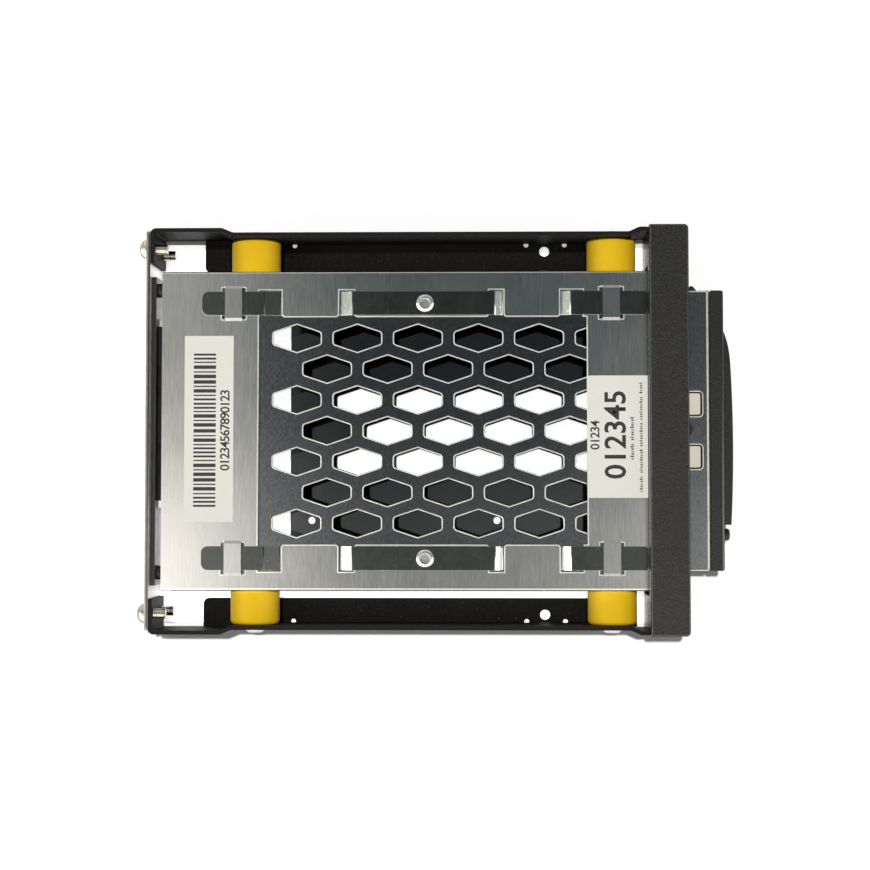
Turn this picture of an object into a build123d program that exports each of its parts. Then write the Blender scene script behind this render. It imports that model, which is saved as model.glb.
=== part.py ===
"""Shock-mounted drive cage for a 3.5-inch bay, with a slide-out tray for one 2.5-inch drive.

The frame lies on its flanges with the labelled side of the cage up (+Z). +X points out of
the front bezel and +Y to the left rail. The origin is the bottom centre of the bounding box.
"""

import os
from math import hypot

from build123d import *

# Driving dimensions, in millimetres

# Front bezel
bezel_width = 101.6
bezel_height = 25.4
bezel_depth = 9.7
bezel_front_radius = 1.1
bezel_rear_radius = 0.3
bezel_edge_radius = 0.4
bezel_mouth_side_gap = 1.1
bezel_mouth_low_gap = 0.5
bezel_mouth_high_gap = 0.7
bezel_pocket_depth = 5.2
bezel_pocket_side_gap = 1.2
bezel_pocket_low_gap = 1.0
bezel_pocket_high_gap = 1.1

# Side rails, folded from one sheet each
frame_length = 125.6
rail_height = 20.0
rail_sheet = 1.0
rail_bend_radius = 1.4
recess_depth = 1.15
rear_shoulder_length = 18.95
rear_joggle_length = 2.8
front_shoulder_length = 2.1
front_joggle_length = 2.5
rear_tab_width = 8.8
left_flange_width = 8.2
right_flange_width = 7.15
flange_rear_gap = 12.4
flange_front_gap = 1.9
flange_corner_radius = 1.5
tongue_length = 7.3
tongue_low = 2.4
tongue_high = 17.6
tongue_clearance = 0.05

# Holes for the stranger's screws
bay_hole_diameter = 2.6
bay_hole_setback = 25.4
bay_hole_inset = 4.05
side_hole_height = 6.35
tool_hole_diameter = 1.25
tool_hole_setbacks = (20.2, 30.1)
rear_tool_hole_reach = 35.6
tool_hole_inset = 0.2

# Rear plate
rear_plate_thickness = 1.0
rear_plate_side_gap = 0.4
rear_plate_corner = 1.2

# Screws
rear_screw_diameter = 2.5
rear_screw_length = 5.0
rear_screw_head_diameter = 5.0
rear_screw_head_height = 2.1
rear_screw_inset = 5.1
rear_screw_margin = 3.0
bezel_screw_diameter = 2.0
bezel_screw_head_diameter = 3.6
bezel_screw_length = 5.0
bezel_screw_setback = 3.8
bezel_screw_spacing = 8.0
damper_screw_diameter = 3.0
damper_screw_length = 5.0
damper_screw_head_diameter = 5.0
damper_screw_head_height = 1.1
recess_diameter_share = 0.5
socket_depth = 0.6
thread_clearance = 0.02

# Rubber dampers
damper_diameter = 12.4
damper_length = 8.65
damper_front_setback = 8.7
damper_rear_reach = 26.7
damper_round = 1.1
damper_foot_round = 0.3
stud_diameter = 3.0
stud_depth = 3.2
nut_width = 5.5
nut_thickness = 1.5

# Floating cage
cage_low = 2.0
cage_high = 18.2
cage_sheet = 0.8
cage_bend_radius = 0.7
cage_rear_gap = 1.65
cage_front_reach = 4.0
cage_base_margin = 31.05
window_rear_margin = 24.95
window_front_setback = 15.2
window_side_margin = 11.6
rear_weave_slots = ((-0.6, 5.1), (19.6, 23.3))
front_weave_slots = ((-24.4, -20.8), (-6.6, -1.0))
weave_slot_clearance = 0.3
weave_slot_radius = 0.5
tab_corner_radius = 0.9

# Lanced bridges that hold the leaf springs
bridge_width = 4.3
bridge_length = 8.8
bridge_sheet = 0.5
bridge_slot = 0.8
bridge_foot = 0.5
bridge_rise = 0.5
bridge_leg_run = 0.7
rear_bridge_reach = 18.05
front_bridge_setback = 9.1

# Leaf springs
leaf_thickness = 0.3
leaf_width = 6.0
leaf_inset = 8.1
leaf_rear_margin = 10.05
leaf_front_setback = 0.1
leaf_gap = 0.05
leaf_bend_radius = 0.8
leaf_rear_corner = 1.7
leaf_front_corner = 1.0
rear_leaf_ramps = ((0.8, 4.7), (19.9, 23.0))
front_leaf_ramps = ((-23.1, -21.1), (-6.4, -3.9))
eyelet_offset = 0.35
eyelet_head_diameter = 4.5
eyelet_tube_diameter = 3.0
eyelet_hole_diameter = 2.3
eyelet_head_height = 0.45
eyelet_foot_diameter = 3.8
eyelet_foot_height = 0.2
eyelet_end_thickness = 0.2

# Perforation shared by the tray floor and the cage base
hexagon_width = 11.9
hexagon_height = 6.8
hexagon_side = 2.8
hexagon_corner = 0.7
hexagon_pitch = 15.2
hexagon_row_pitch = 7.74
hexagon_first_margin = 8.9
hexagon_end_margin = 1.85
floor_rows = 7
base_rows = 3
base_hole_diameter = 1.8
base_hole_y = 22.6
front_base_hole_setback = 37.7
rear_base_hole_reach = 36.55

# Guide rails inside the cage
guide_thickness = 2.3
guide_top_gap = 2.4
guide_rear_margin = 4.75
guide_front_reach = 3.0
guide_groove_depth = 1.5
guide_groove_clearance = 0.1

# Drive tray
tray_sheet = 0.8
tray_leaf_clearance = 0.15
tray_rear_gap = 5.4
tray_shoulder_setback = 2.0
tray_side_gap = 0.2
tray_neck_step = 1.7
tray_corner = 1.0
tray_lip_gap = 0.2
tray_lip_low = 4.2
tray_front_reach = 15.35
tray_front_low = 3.2
tray_window_length = 5.0
tray_window_width = 6.0
tray_window_reach = 11.0
tray_window_y = 6.6
tray_window_corner = 0.8
tray_screw_reach = 9.6
tray_screw_diameter = 2.0
tray_screw_length = 4.0
tray_screw_head_diameter = 3.8
tray_screw_head_height = 0.7
drive_seat_gap = 1.0
drive_hole_diameter = 3.2
drive_hole_offset = 14.0
drive_hole_spacing = 76.6
drive_hole_inset = 5.84

# Latch block behind the tray's front wall
latch_side_gap = 1.5
latch_rear_reach = 3.4
latch_low = 3.6
latch_wall = 1.6
latch_pocket_width = 13.0

# Tray front
face_depth = 3.6
face_low = 2.4
face_high = 17.4
face_corner = 0.6
face_groove = 0.35
lever_pocket_low = 5.2
lever_pocket_high = 14.6
lever_pocket_gap = 0.3

# Swinging lever
hinge_inset = 5.8
hinge_depth = 1.75
hinge_pin_diameter = 1.6
hinge_pin_embed = 1.8
hinge_pin_clearance = 0.05
lever_hub_diameter = 3.4
lever_wall = 1.5
lever_bulge_start = 3.6
lever_bulge_full = 12.7
lever_end_inset = 11.4
lever_end_bulge = 2.0
lever_bulge = 2.55
lever_behind = 0.35
nose_height = 3.0
nose_width = 1.4
nose_bezel_gap = 1.1
nose_swing_clearance = 0.3

# Release button
button_diameter = 3.1
button_inset = 8.9
button_proud = 1.95
button_clearance = 0.1
button_collar_diameter = 4.4
button_collar_thickness = 0.8
button_travel = 0.6
button_round = 0.7
button_stem_diameter = 2.0
button_stem_length = 3.0

# Backplane
board_thickness = 1.2
board_side_gap = 3.2
board_low = 3.0
board_high = 17.0
board_corner = 0.7
board_screw_diameter = 2.0
board_screw_head_diameter = 3.6
board_screw_head_height = 1.2
board_screw_inset = 3.2
board_screw_height = 13.6
connector_width = 43.8
connector_y = 4.5
connector_depth = 7.0
connector_low = 9.2
connector_high = 14.4
connector_mouth_width = 39.0
connector_mouth_height = 2.6
connector_mouth_depth = 4.0
connector_key_ys = (15.1, 9.6, -4.3, -9.6)
connector_key_width = 2.5
connector_key_depth = 0.6
clip_width = 2.0
clip_length = 1.9
clip_height = 4.6
port_width = 42.0
port_low = 3.6
port_high = 8.4
port_depth = 7.0
port_mouth_depth = 4.5
port_wall = 0.9
port_tongue = 1.2
port_clearance = 0.1

# Labels
label_thickness = 0.12
rear_label_length = 12.3
rear_label_width = 46.6
rear_label_y = 0.45
front_label_length = 15.0
front_label_width = 30.5
front_label_y = -1.6
front_label_clearance = 0.1

# Derived places. Across the frame, each piece takes its Y from the next one outwards.

shoulder_y = bezel_width / 2
recess_y = shoulder_y - recess_depth
recess_inner_y = recess_y - rail_sheet
rear_tab_y = shoulder_y - rear_tab_width
rear_plate_y = shoulder_y - rear_plate_side_gap
rear_screw_y = shoulder_y - rear_screw_inset
bay_hole_y = shoulder_y - bay_hole_inset
board_y = rear_tab_y - board_side_gap
board_screw_y = board_y - board_screw_inset
cage_y = recess_inner_y - damper_length
cage_inner_y = cage_y - cage_sheet
guide_y = cage_inner_y - guide_thickness
tray_y = guide_y - tray_side_gap
tray_lip_y = guide_y + guide_groove_depth - tray_lip_gap
neck_y = tray_y - tray_neck_step
drive_hole_y = tray_y - drive_hole_inset
latch_y = neck_y - latch_side_gap
leaf_y = cage_y - leaf_inset
window_y = cage_y - window_side_margin
weave_slot_y = leaf_y + leaf_width / 2 + weave_slot_clearance
hinge_y = neck_y - hinge_inset
nose_tip_y = tray_y
lever_bulge_start_y = hinge_y - lever_bulge_start
lever_full_y = hinge_y - lever_bulge_full
lever_end_y = lever_end_inset - neck_y
button_y = button_inset - neck_y

# Along the frame, the rear pieces are counted from the rear plate and the others from the bezel

face_front = tray_front_reach + face_depth
overall_length = rear_screw_head_height + frame_length + face_front + lever_bulge
bezel_x = overall_length / 2 - face_front - lever_bulge
rear_x = bezel_x - frame_length
tab_x = rear_x + rear_plate_thickness
tab_inner_x = tab_x + rail_sheet
board_x = tab_x
board_front_x = board_x + board_thickness
connector_front_x = board_front_x + connector_depth
cage_rear_x = board_front_x + cage_rear_gap
cage_front_x = bezel_x + cage_front_reach
base_rear_x = cage_rear_x + cage_base_margin
window_rear_x = cage_rear_x + window_rear_margin
window_front_x = bezel_x - window_front_setback
bridge_xs = (cage_rear_x + rear_bridge_reach, bezel_x - front_bridge_setback)
eyelet_x = (window_rear_x + window_front_x) / 2 + eyelet_offset
damper_xs = (rear_x + damper_rear_reach, bezel_x - damper_front_setback)
tray_rear_x = connector_front_x + tray_rear_gap
tray_shoulder_x = bezel_x - tray_shoulder_setback
tray_front_x = bezel_x + tray_front_reach
face_front_x = bezel_x + face_front
hinge_x = face_front_x - hinge_depth

# Heights

cage_mid_z = (cage_low + cage_high) / 2
shell_under = cage_high - cage_sheet
base_top = cage_low + cage_sheet
leaf_high = cage_high + leaf_gap
leaf_low = shell_under - leaf_gap - leaf_thickness
floor_top = leaf_low - tray_leaf_clearance
floor_under = floor_top - tray_sheet
nose_mid_z = (lever_pocket_low + lever_pocket_high) / 2

# The lever's nose runs slantwise from its hinge to the tray's side, in front of the bezel

nose_dx = bezel_x + bezel_depth + nose_bezel_gap + nose_width / 2 - hinge_x
nose_dy = nose_tip_y - nose_width / 2 - hinge_y
nose_length = hypot(nose_dx, nose_dy)
nose_reach = nose_length + nose_width / 2 + nose_swing_clearance
nose_slot = nose_height + 2 * nose_swing_clearance
sides = (("left", 1), ("right", -1))


def write_piece(part, name):
    """Label a finished piece and write it to its own file."""
    part.label = name
    export_step(part, f"parts/{name}.step")


def hexagon_points():
    """Corners of one long hexagon, points up and down, about its own centre."""
    half_width = hexagon_width / 2
    half_side = hexagon_side / 2
    half_height = hexagon_height / 2
    return [
        (half_width, -half_side),
        (half_width, half_side),
        (0, half_height),
        (-half_width, half_side),
        (-half_width, -half_side),
        (0, -half_height),
    ]


def hexagon_centres(rows, first_x):
    """Staggered centres, as many in each row as fit behind the tray's shoulder."""
    last_x = tray_shoulder_x - hexagon_end_margin - hexagon_width / 2
    centres = []
    for row in range(rows):
        row_from_middle = row - (rows - 1) / 2
        # The middle row of the sheet is always one of the rows that start half a pitch on
        shifted = (row - (rows - 1) // 2) % 2 == 0
        centre_x = first_x + (hexagon_pitch / 2 if shifted else 0)
        while centre_x < last_x:
            centres.append((centre_x, row_from_middle * hexagon_row_pitch))
            centre_x += hexagon_pitch
    return centres


def nose_outline(gap):
    """Corners of the lever's nose, from the hinge to the middle of its round tip."""
    half = nose_width / 2 + gap
    across_x = -nose_dy / nose_length * half
    across_y = nose_dx / nose_length * half
    tip_x = hinge_x + nose_dx
    tip_y = hinge_y + nose_dy
    return [
        (hinge_x + across_x, hinge_y + across_y),
        (tip_x + across_x, tip_y + across_y),
        (tip_x - across_x, tip_y - across_y),
        (hinge_x - across_x, hinge_y - across_y),
    ]


def rail_path(sign):
    """Outer line of a rail, seen from above, from its rear tab to its front tongue."""
    shoulder_end = rear_x + rear_plate_thickness + rear_shoulder_length
    recess_end = bezel_x - front_shoulder_length - front_joggle_length
    return [
        (tab_x, sign * rear_tab_y),
        (tab_x, sign * shoulder_y),
        (shoulder_end - rear_plate_thickness, sign * shoulder_y),
        (shoulder_end - rear_plate_thickness + rear_joggle_length, sign * recess_y),
        (recess_end, sign * recess_y),
        (recess_end + front_joggle_length, sign * shoulder_y),
        (bezel_x + tongue_length, sign * shoulder_y),
    ]


os.makedirs("parts", exist_ok=True)

# Side rails

for side_name, sign in sides:
    flange_width = left_flange_width if sign > 0 else right_flange_width
    flange_y = recess_y - flange_width
    path = rail_path(sign)
    with BuildPart() as rail:
        with BuildSketch() as wall_sketch:
            with BuildLine() as wall_line:
                FilletPolyline(*path, radius=rail_bend_radius)
                offset(amount=rail_sheet, side=Side.RIGHT if sign > 0 else Side.LEFT)
            make_face()
        extrude(amount=rail_height)
        with BuildSketch() as flange_sketch:
            flange_rear = tab_inner_x + flange_rear_gap - rear_plate_thickness - rail_sheet
            flange_front = bezel_x - flange_front_gap
            half_sheet = rail_sheet / 2
            with BuildLine():
                Polyline(
                    (flange_rear, sign * flange_y),
                    (flange_rear, sign * (shoulder_y - half_sheet)),
                    (path[2][0], sign * (shoulder_y - half_sheet)),
                    (path[3][0], sign * (recess_y - half_sheet)),
                    (path[4][0], sign * (recess_y - half_sheet)),
                    (flange_front, sign * (shoulder_y - half_sheet)),
                    (flange_front, sign * flange_y),
                    close=True,
                )
            make_face()
            free_corners = flange_sketch.vertices().group_by(Axis.Y)[0 if sign > 0 else -1]
            fillet(free_corners, radius=flange_corner_radius)
        extrude(amount=rail_sheet)
        # The tongue is lower than the wall, so that the bezel covers its edges
        tongue_x = bezel_x + tongue_length / 2
        for low, high in ((0, tongue_low), (tongue_high, rail_height)):
            with Locations((tongue_x, sign * shoulder_y, (low + high) / 2)):
                Box(tongue_length, 4 * rail_sheet, high - low, mode=Mode.SUBTRACT)
        # Holes in the flange
        with Locations((bezel_x - bay_hole_setback, sign * bay_hole_y)):
            Cylinder(bay_hole_diameter / 2, 4 * rail_sheet, mode=Mode.SUBTRACT)
        tool_hole_xs = [bezel_x - setback for setback in tool_hole_setbacks]
        for tool_hole_x in (rear_x + rear_tool_hole_reach, *tool_hole_xs):
            with Locations((tool_hole_x, sign * (recess_inner_y - tool_hole_inset))):
                Cylinder(tool_hole_diameter / 2, 4 * rail_sheet, mode=Mode.SUBTRACT)
        # Holes through the wall
        wall_holes = [(x, cage_mid_z, damper_screw_diameter) for x in damper_xs]
        wall_holes.append((bezel_x - bay_hole_setback, side_hole_height, bay_hole_diameter))
        for hole_x, hole_z, diameter in wall_holes:
            radius = diameter / 2 + (thread_clearance if diameter == damper_screw_diameter else 0)
            with Locations(Plane.XZ.offset(-sign * recess_y)):
                with Locations((hole_x, hole_z)):
                    Cylinder(radius, 4 * rail_sheet, mode=Mode.SUBTRACT)
        # Countersinks for the bezel screws
        for step in (-1, 1):
            hole_z = (tongue_low + tongue_high) / 2 + step * bezel_screw_spacing / 2
            screw_place = (bezel_x + bezel_screw_setback, sign * shoulder_y, hole_z)
            outward = Plane(screw_place, (1, 0, 0), (0, sign, 0))
            with Locations(outward):
                CounterSinkHole(
                    bezel_screw_diameter / 2 + thread_clearance,
                    bezel_screw_head_diameter / 2 + thread_clearance,
                    depth=4 * rail_sheet,
                )
        # Tapped holes in the rear tab
        for hole_z in (rear_screw_margin, rail_height - rear_screw_margin):
            with Locations(Plane((tab_x, sign * rear_screw_y, hole_z), (0, 1, 0), (-1, 0, 0))):
                Cylinder(rear_screw_diameter / 2 + thread_clearance, 4 * rail_sheet, mode=Mode.SUBTRACT)
    write_piece(rail.part, f"{side_name}_rail")

# Front bezel

with BuildPart() as front_bezel:
    with BuildSketch() as bezel_sketch:
        with Locations((bezel_x + bezel_depth / 2, 0)):
            Rectangle(bezel_depth, bezel_width)
        fillet(bezel_sketch.vertices().group_by(Axis.X)[-1], radius=bezel_front_radius)
        fillet(bezel_sketch.vertices().group_by(Axis.X)[0], radius=bezel_rear_radius)
    extrude(amount=bezel_height)
    fillet(front_bezel.faces().sort_by(Axis.Z)[-1].edges(), radius=bezel_edge_radius)
    fillet(front_bezel.faces().sort_by(Axis.Z)[0].edges(), radius=bezel_edge_radius)
    mouth_low = cage_low - bezel_mouth_low_gap
    mouth_high = cage_high + bezel_mouth_high_gap
    mouth_width = 2 * (tray_lip_y + bezel_mouth_side_gap)
    with Locations((bezel_x + bezel_depth / 2, 0, (mouth_low + mouth_high) / 2)):
        Box(2 * bezel_depth, mouth_width, mouth_high - mouth_low, mode=Mode.SUBTRACT)
    pocket_low = cage_low - bezel_pocket_low_gap
    pocket_high = cage_high + bezel_pocket_high_gap
    pocket_width = 2 * (cage_y + bezel_pocket_side_gap)
    with Locations((bezel_x, 0, (pocket_low + pocket_high) / 2)):
        Box(2 * bezel_pocket_depth, pocket_width, pocket_high - pocket_low, mode=Mode.SUBTRACT)
    # Rebates that take the tongues of the rails
    for side_name, sign in sides:
        rebate_depth = rail_sheet + tongue_clearance
        rebate_length = tongue_length + tongue_clearance
        rebate_low = tongue_low - tongue_clearance
        rebate_high = tongue_high + tongue_clearance
        with Locations((bezel_x, sign * shoulder_y, (rebate_low + rebate_high) / 2)):
            Box(2 * rebate_length, 2 * rebate_depth, rebate_high - rebate_low, mode=Mode.SUBTRACT)
        for step in (-1, 1):
            hole_z = (tongue_low + tongue_high) / 2 + step * bezel_screw_spacing / 2
            hole_plane = Plane(
                (bezel_x + bezel_screw_setback, sign * shoulder_y, hole_z), (1, 0, 0), (0, sign, 0)
            )
            with Locations(hole_plane):
                Cylinder(
                    bezel_screw_diameter / 2 + thread_clearance,
                    2 * (bezel_screw_length + thread_clearance),
                    mode=Mode.SUBTRACT,
                )
write_piece(front_bezel.part, "front_bezel")

# Rear plate with the window for the port

port_mid_z = (port_low + port_high) / 2
with BuildPart() as rear_plate:
    with BuildSketch(Plane((rear_x, 0, rail_height / 2), (0, 1, 0), (1, 0, 0))) as plate_sketch:
        RectangleRounded(2 * rear_plate_y, rail_height, rear_plate_corner)
        with Locations((connector_y, port_mid_z - rail_height / 2)):
            Rectangle(
                port_width + 2 * port_clearance,
                port_high - port_low + 2 * port_clearance,
                mode=Mode.SUBTRACT,
            )
        screw_rise = rail_height / 2 - rear_screw_margin
        with GridLocations(2 * rear_screw_y, 2 * screw_rise, 2, 2):
            Circle(rear_screw_diameter / 2 + thread_clearance, mode=Mode.SUBTRACT)
        with Locations(*[(s * board_screw_y, board_screw_height - rail_height / 2) for s in (-1, 1)]):
            Circle(board_screw_diameter / 2 + thread_clearance, mode=Mode.SUBTRACT)
    extrude(amount=rear_plate_thickness)
write_piece(rear_plate.part, "rear_plate")

# Pan-head screws through the rear plate into the tabs

with BuildPart() as rear_screws:
    for sign in (1, -1):
        for screw_z in (rear_screw_margin, rail_height - rear_screw_margin):
            centre = Plane((rear_x, sign * rear_screw_y, screw_z), (0, 1, 0), (1, 0, 0))
            with BuildSketch(centre):
                Circle(rear_screw_diameter / 2)
            extrude(amount=rear_screw_length)
            with BuildSketch(Plane((rear_x, sign * rear_screw_y, screw_z), (0, 1, 0), (0, 0, 1))):
                with BuildLine():
                    head_edge = rear_screw_head_diameter / 2
                    rim = rear_screw_head_height * 0.35
                    Polyline((0, 0), (head_edge, 0), (head_edge, rim))
                    ThreePointArc(
                        (head_edge, rim),
                        (head_edge * 0.62, rear_screw_head_height * 0.86),
                        (0, rear_screw_head_height),
                    )
                    Line((0, rear_screw_head_height), (0, 0))
                make_face()
            revolve(axis=Axis((rear_x, sign * rear_screw_y, screw_z), (1, 0, 0)))
            with Locations(
                Plane((rear_x - rear_screw_head_height, sign * rear_screw_y, screw_z), (0, 1, 0), (1, 0, 0))
            ):
                slot_long = rear_screw_head_diameter * recess_diameter_share
                Box(slot_long, slot_long / 4, 2 * socket_depth, mode=Mode.SUBTRACT)
                Box(slot_long / 4, slot_long, 2 * socket_depth, mode=Mode.SUBTRACT)
write_piece(rear_screws.part, "rear_screws")

# Countersunk screws that hold the bezel to the tongues

with BuildPart() as bezel_screws:
    for side_name, sign in sides:
        for step in (-1, 1):
            screw_z = (tongue_low + tongue_high) / 2 + step * bezel_screw_spacing / 2
            screw_x = bezel_x + bezel_screw_setback
            cone = (bezel_screw_head_diameter - bezel_screw_diameter) / 2
            with BuildSketch(Plane((screw_x, sign * shoulder_y, screw_z), (1, 0, 0), (0, 0, 1))):
                with BuildLine():
                    Polyline(
                        (0, 0),
                        (bezel_screw_head_diameter / 2, 0),
                        (bezel_screw_diameter / 2, -sign * cone),
                        (bezel_screw_diameter / 2, -sign * bezel_screw_length),
                        (0, -sign * bezel_screw_length),
                        close=True,
                    )
                make_face()
            revolve(axis=Axis((screw_x, 0, screw_z), (0, 1, 0)))
            with Locations((screw_x, sign * shoulder_y, screw_z)):
                slot_long = bezel_screw_head_diameter * recess_diameter_share
                Box(slot_long, socket_depth, slot_long / 4, mode=Mode.SUBTRACT)
                Box(slot_long / 4, socket_depth, slot_long, mode=Mode.SUBTRACT)
write_piece(bezel_screws.part, "bezel_screws")

# Rubber dampers between the rails and the cage

damper_names = [("rear", damper_xs[0]), ("front", damper_xs[1])]
for side_name, sign in sides:
    for end_name, damper_x in damper_names:
        inner = Plane((damper_x, sign * cage_y, cage_mid_z), (1, 0, 0), (0, sign, 0))
        with BuildPart(inner) as damper:
            with BuildSketch(inner):
                Circle(damper_diameter / 2)
            extrude(amount=damper_length)
            rims = damper.edges().filter_by(GeomType.CIRCLE).sort_by(Axis.Y)
            outer_rim = rims[-1] if sign > 0 else rims[0]
            inner_rim = rims[0] if sign > 0 else rims[-1]
            fillet(outer_rim, radius=damper_round)
            fillet(inner_rim, radius=damper_foot_round)
            with BuildSketch(inner):
                Circle(stud_diameter / 2 + thread_clearance)
            extrude(amount=stud_depth, mode=Mode.SUBTRACT)
            with BuildSketch(inner.offset(damper_length)):
                Circle(damper_screw_diameter / 2 + thread_clearance)
            extrude(amount=-(damper_screw_length - rail_sheet), mode=Mode.SUBTRACT)
        write_piece(damper.part, f"{side_name}_{end_name}_damper")

# Screws from outside into the dampers

with BuildPart() as damper_screws:
    for side_name, sign in sides:
        for damper_x in damper_xs:
            with BuildSketch(Plane((damper_x, sign * recess_y, cage_mid_z), (1, 0, 0), (0, sign, 0))):
                Circle(damper_screw_diameter / 2)
            extrude(amount=-damper_screw_length)
            with BuildSketch(Plane((damper_x, sign * recess_y, cage_mid_z), (1, 0, 0), (0, 0, 1))):
                with BuildLine():
                    head_edge = damper_screw_head_diameter / 2
                    top = sign * damper_screw_head_height
                    Polyline(
                        (0, 0),
                        (head_edge, 0),
                        (head_edge, 0.4 * top),
                        (0.66 * head_edge, top),
                        (0, top),
                        close=True,
                    )
                make_face()
            revolve(axis=Axis((damper_x, 0, cage_mid_z), (0, 1, 0)))
            with Locations((damper_x, sign * (recess_y + damper_screw_head_height), cage_mid_z)):
                slot_long = damper_screw_head_diameter * recess_diameter_share
                Box(slot_long, 2 * socket_depth, slot_long / 4, mode=Mode.SUBTRACT)
                Box(slot_long / 4, 2 * socket_depth, slot_long, mode=Mode.SUBTRACT)
write_piece(damper_screws.part, "damper_screws")

# Studs of the dampers, through the cage wall, and their nuts in the guide rails

nut_inner_y = cage_inner_y - nut_thickness
stud_length = stud_depth + cage_sheet + nut_thickness
with BuildPart() as damper_studs:
    for side_name, sign in sides:
        for damper_x in damper_xs:
            with BuildSketch(Plane((damper_x, sign * nut_inner_y, cage_mid_z), (1, 0, 0), (0, sign, 0))):
                Circle(stud_diameter / 2)
            extrude(amount=stud_length)
write_piece(damper_studs.part, "damper_studs")

with BuildPart() as damper_nuts:
    for side_name, sign in sides:
        for damper_x in damper_xs:
            with BuildSketch(Plane((damper_x, sign * nut_inner_y, cage_mid_z), (1, 0, 0), (0, sign, 0))):
                RegularPolygon(nut_width / 2, 6, major_radius=False)
                Circle(stud_diameter / 2 + thread_clearance, mode=Mode.SUBTRACT)
            extrude(amount=nut_thickness)
write_piece(damper_nuts.part, "damper_nuts")

# Cage shell with its window, weave slots and lanced bridges

shell_length = cage_front_x - cage_rear_x
shell_mid_x = (cage_front_x + cage_rear_x) / 2
bridge_open_length = bridge_length - 2 * bridge_foot
weave_slots = [(window_rear_x + rear, window_rear_x + front) for rear, front in rear_weave_slots]
weave_slots += [(window_front_x + rear, window_front_x + front) for rear, front in front_weave_slots]
with BuildPart() as cage_shell:
    with Locations((shell_mid_x, 0, (base_top + cage_high) / 2)):
        Box(shell_length, 2 * cage_y, cage_high - base_top)
    crown_edges = cage_shell.edges().filter_by(Axis.X).group_by(Axis.Z)[-1]
    fillet(crown_edges, radius=cage_bend_radius)
    with Locations((shell_mid_x, 0, (base_top + shell_under) / 2)):
        Box(2 * shell_length, 2 * cage_inner_y, shell_under - base_top, mode=Mode.SUBTRACT)
    with BuildSketch(Plane.XY.offset(shell_under)) as window_sketch:
        with Locations(((window_rear_x + window_front_x) / 2, 0)):
            Rectangle(window_front_x - window_rear_x, 2 * window_y)
        for slot_rear_x, slot_front_x in weave_slots:
            with Locations(((slot_rear_x + slot_front_x) / 2, 0)):
                Rectangle(slot_front_x - slot_rear_x, 2 * weave_slot_y)
        mouths = window_sketch.vertices().filter_by(lambda v: abs(abs(v.Y) - window_y) < 0.01)
        ends = window_sketch.vertices().filter_by(lambda v: abs(abs(v.Y) - weave_slot_y) < 0.01)
        inner_mouths = [v for v in mouths if window_rear_x + 1 < v.X < window_front_x - 2]
        fillet(inner_mouths, radius=tab_corner_radius)
        fillet(ends, radius=weave_slot_radius)
    extrude(amount=cage_sheet, mode=Mode.SUBTRACT)
    for side_name, sign in sides:
        for bridge_x in bridge_xs:
            with BuildSketch(Plane.XY.offset(shell_under)):
                with Locations((bridge_x, sign * leaf_y)):
                    Rectangle(bridge_width + 2 * bridge_slot, bridge_open_length)
            extrude(amount=cage_sheet, mode=Mode.SUBTRACT)
            with BuildSketch(Plane((bridge_x, sign * leaf_y, 0), (0, 1, 0), (1, 0, 0))):
                half_open = bridge_open_length / 2
                half_foot = bridge_length / 2
                under = cage_high + bridge_rise
                over = under + bridge_sheet
                with BuildLine():
                    Polyline(
                        (-half_foot, shell_under),
                        (-half_foot, cage_high),
                        (-half_foot + bridge_leg_run, over),
                        (half_foot - bridge_leg_run, over),
                        (half_foot, cage_high),
                        (half_foot, shell_under),
                        (half_open, shell_under),
                        (half_open - bridge_leg_run, under),
                        (-half_open + bridge_leg_run, under),
                        (-half_open, shell_under),
                        close=True,
                    )
                make_face()
            extrude(amount=bridge_width / 2, both=True)
        # Eyelet and damper stud holes
        with Locations((eyelet_x, sign * leaf_y, shell_under)):
            Cylinder(eyelet_tube_diameter / 2 + thread_clearance, 4 * cage_sheet, mode=Mode.SUBTRACT)
        for damper_x in damper_xs:
            with Locations(Plane((damper_x, sign * cage_y, cage_mid_z), (1, 0, 0), (0, sign, 0))):
                Cylinder(stud_diameter / 2 + thread_clearance, 4 * cage_sheet, mode=Mode.SUBTRACT)
write_piece(cage_shell.part, "cage_shell")

# Cage base, open at the rear, with three rows of the same hexagons

hexagon_first_x = window_rear_x + hexagon_first_margin
with BuildPart() as cage_base:
    with BuildSketch(Plane.XY.offset(cage_low)) as base_sketch:
        with Locations(((base_rear_x + cage_front_x) / 2, 0)):
            Rectangle(cage_front_x - base_rear_x, 2 * cage_y)
        with BuildSketch(mode=Mode.PRIVATE) as base_hexagon:
            with BuildLine():
                Polyline(*hexagon_points(), close=True)
            make_face()
            side_corners = base_hexagon.vertices().filter_by(lambda v: abs(v.X) > 1)
            fillet(side_corners, radius=hexagon_corner)
        # The base starts one column further forward than the tray floor
        with Locations(*hexagon_centres(base_rows, hexagon_first_x + hexagon_pitch)):
            add(base_hexagon.sketch, mode=Mode.SUBTRACT)
        base_hole_xs = (cage_rear_x + rear_base_hole_reach, bezel_x - front_base_hole_setback)
        with Locations(*[(base_hole_x, -base_hole_y) for base_hole_x in base_hole_xs]):
            Circle(base_hole_diameter / 2, mode=Mode.SUBTRACT)
    extrude(amount=cage_sheet)
write_piece(cage_base.part, "cage_base")

# Leaf springs, woven over and under the shell

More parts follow.
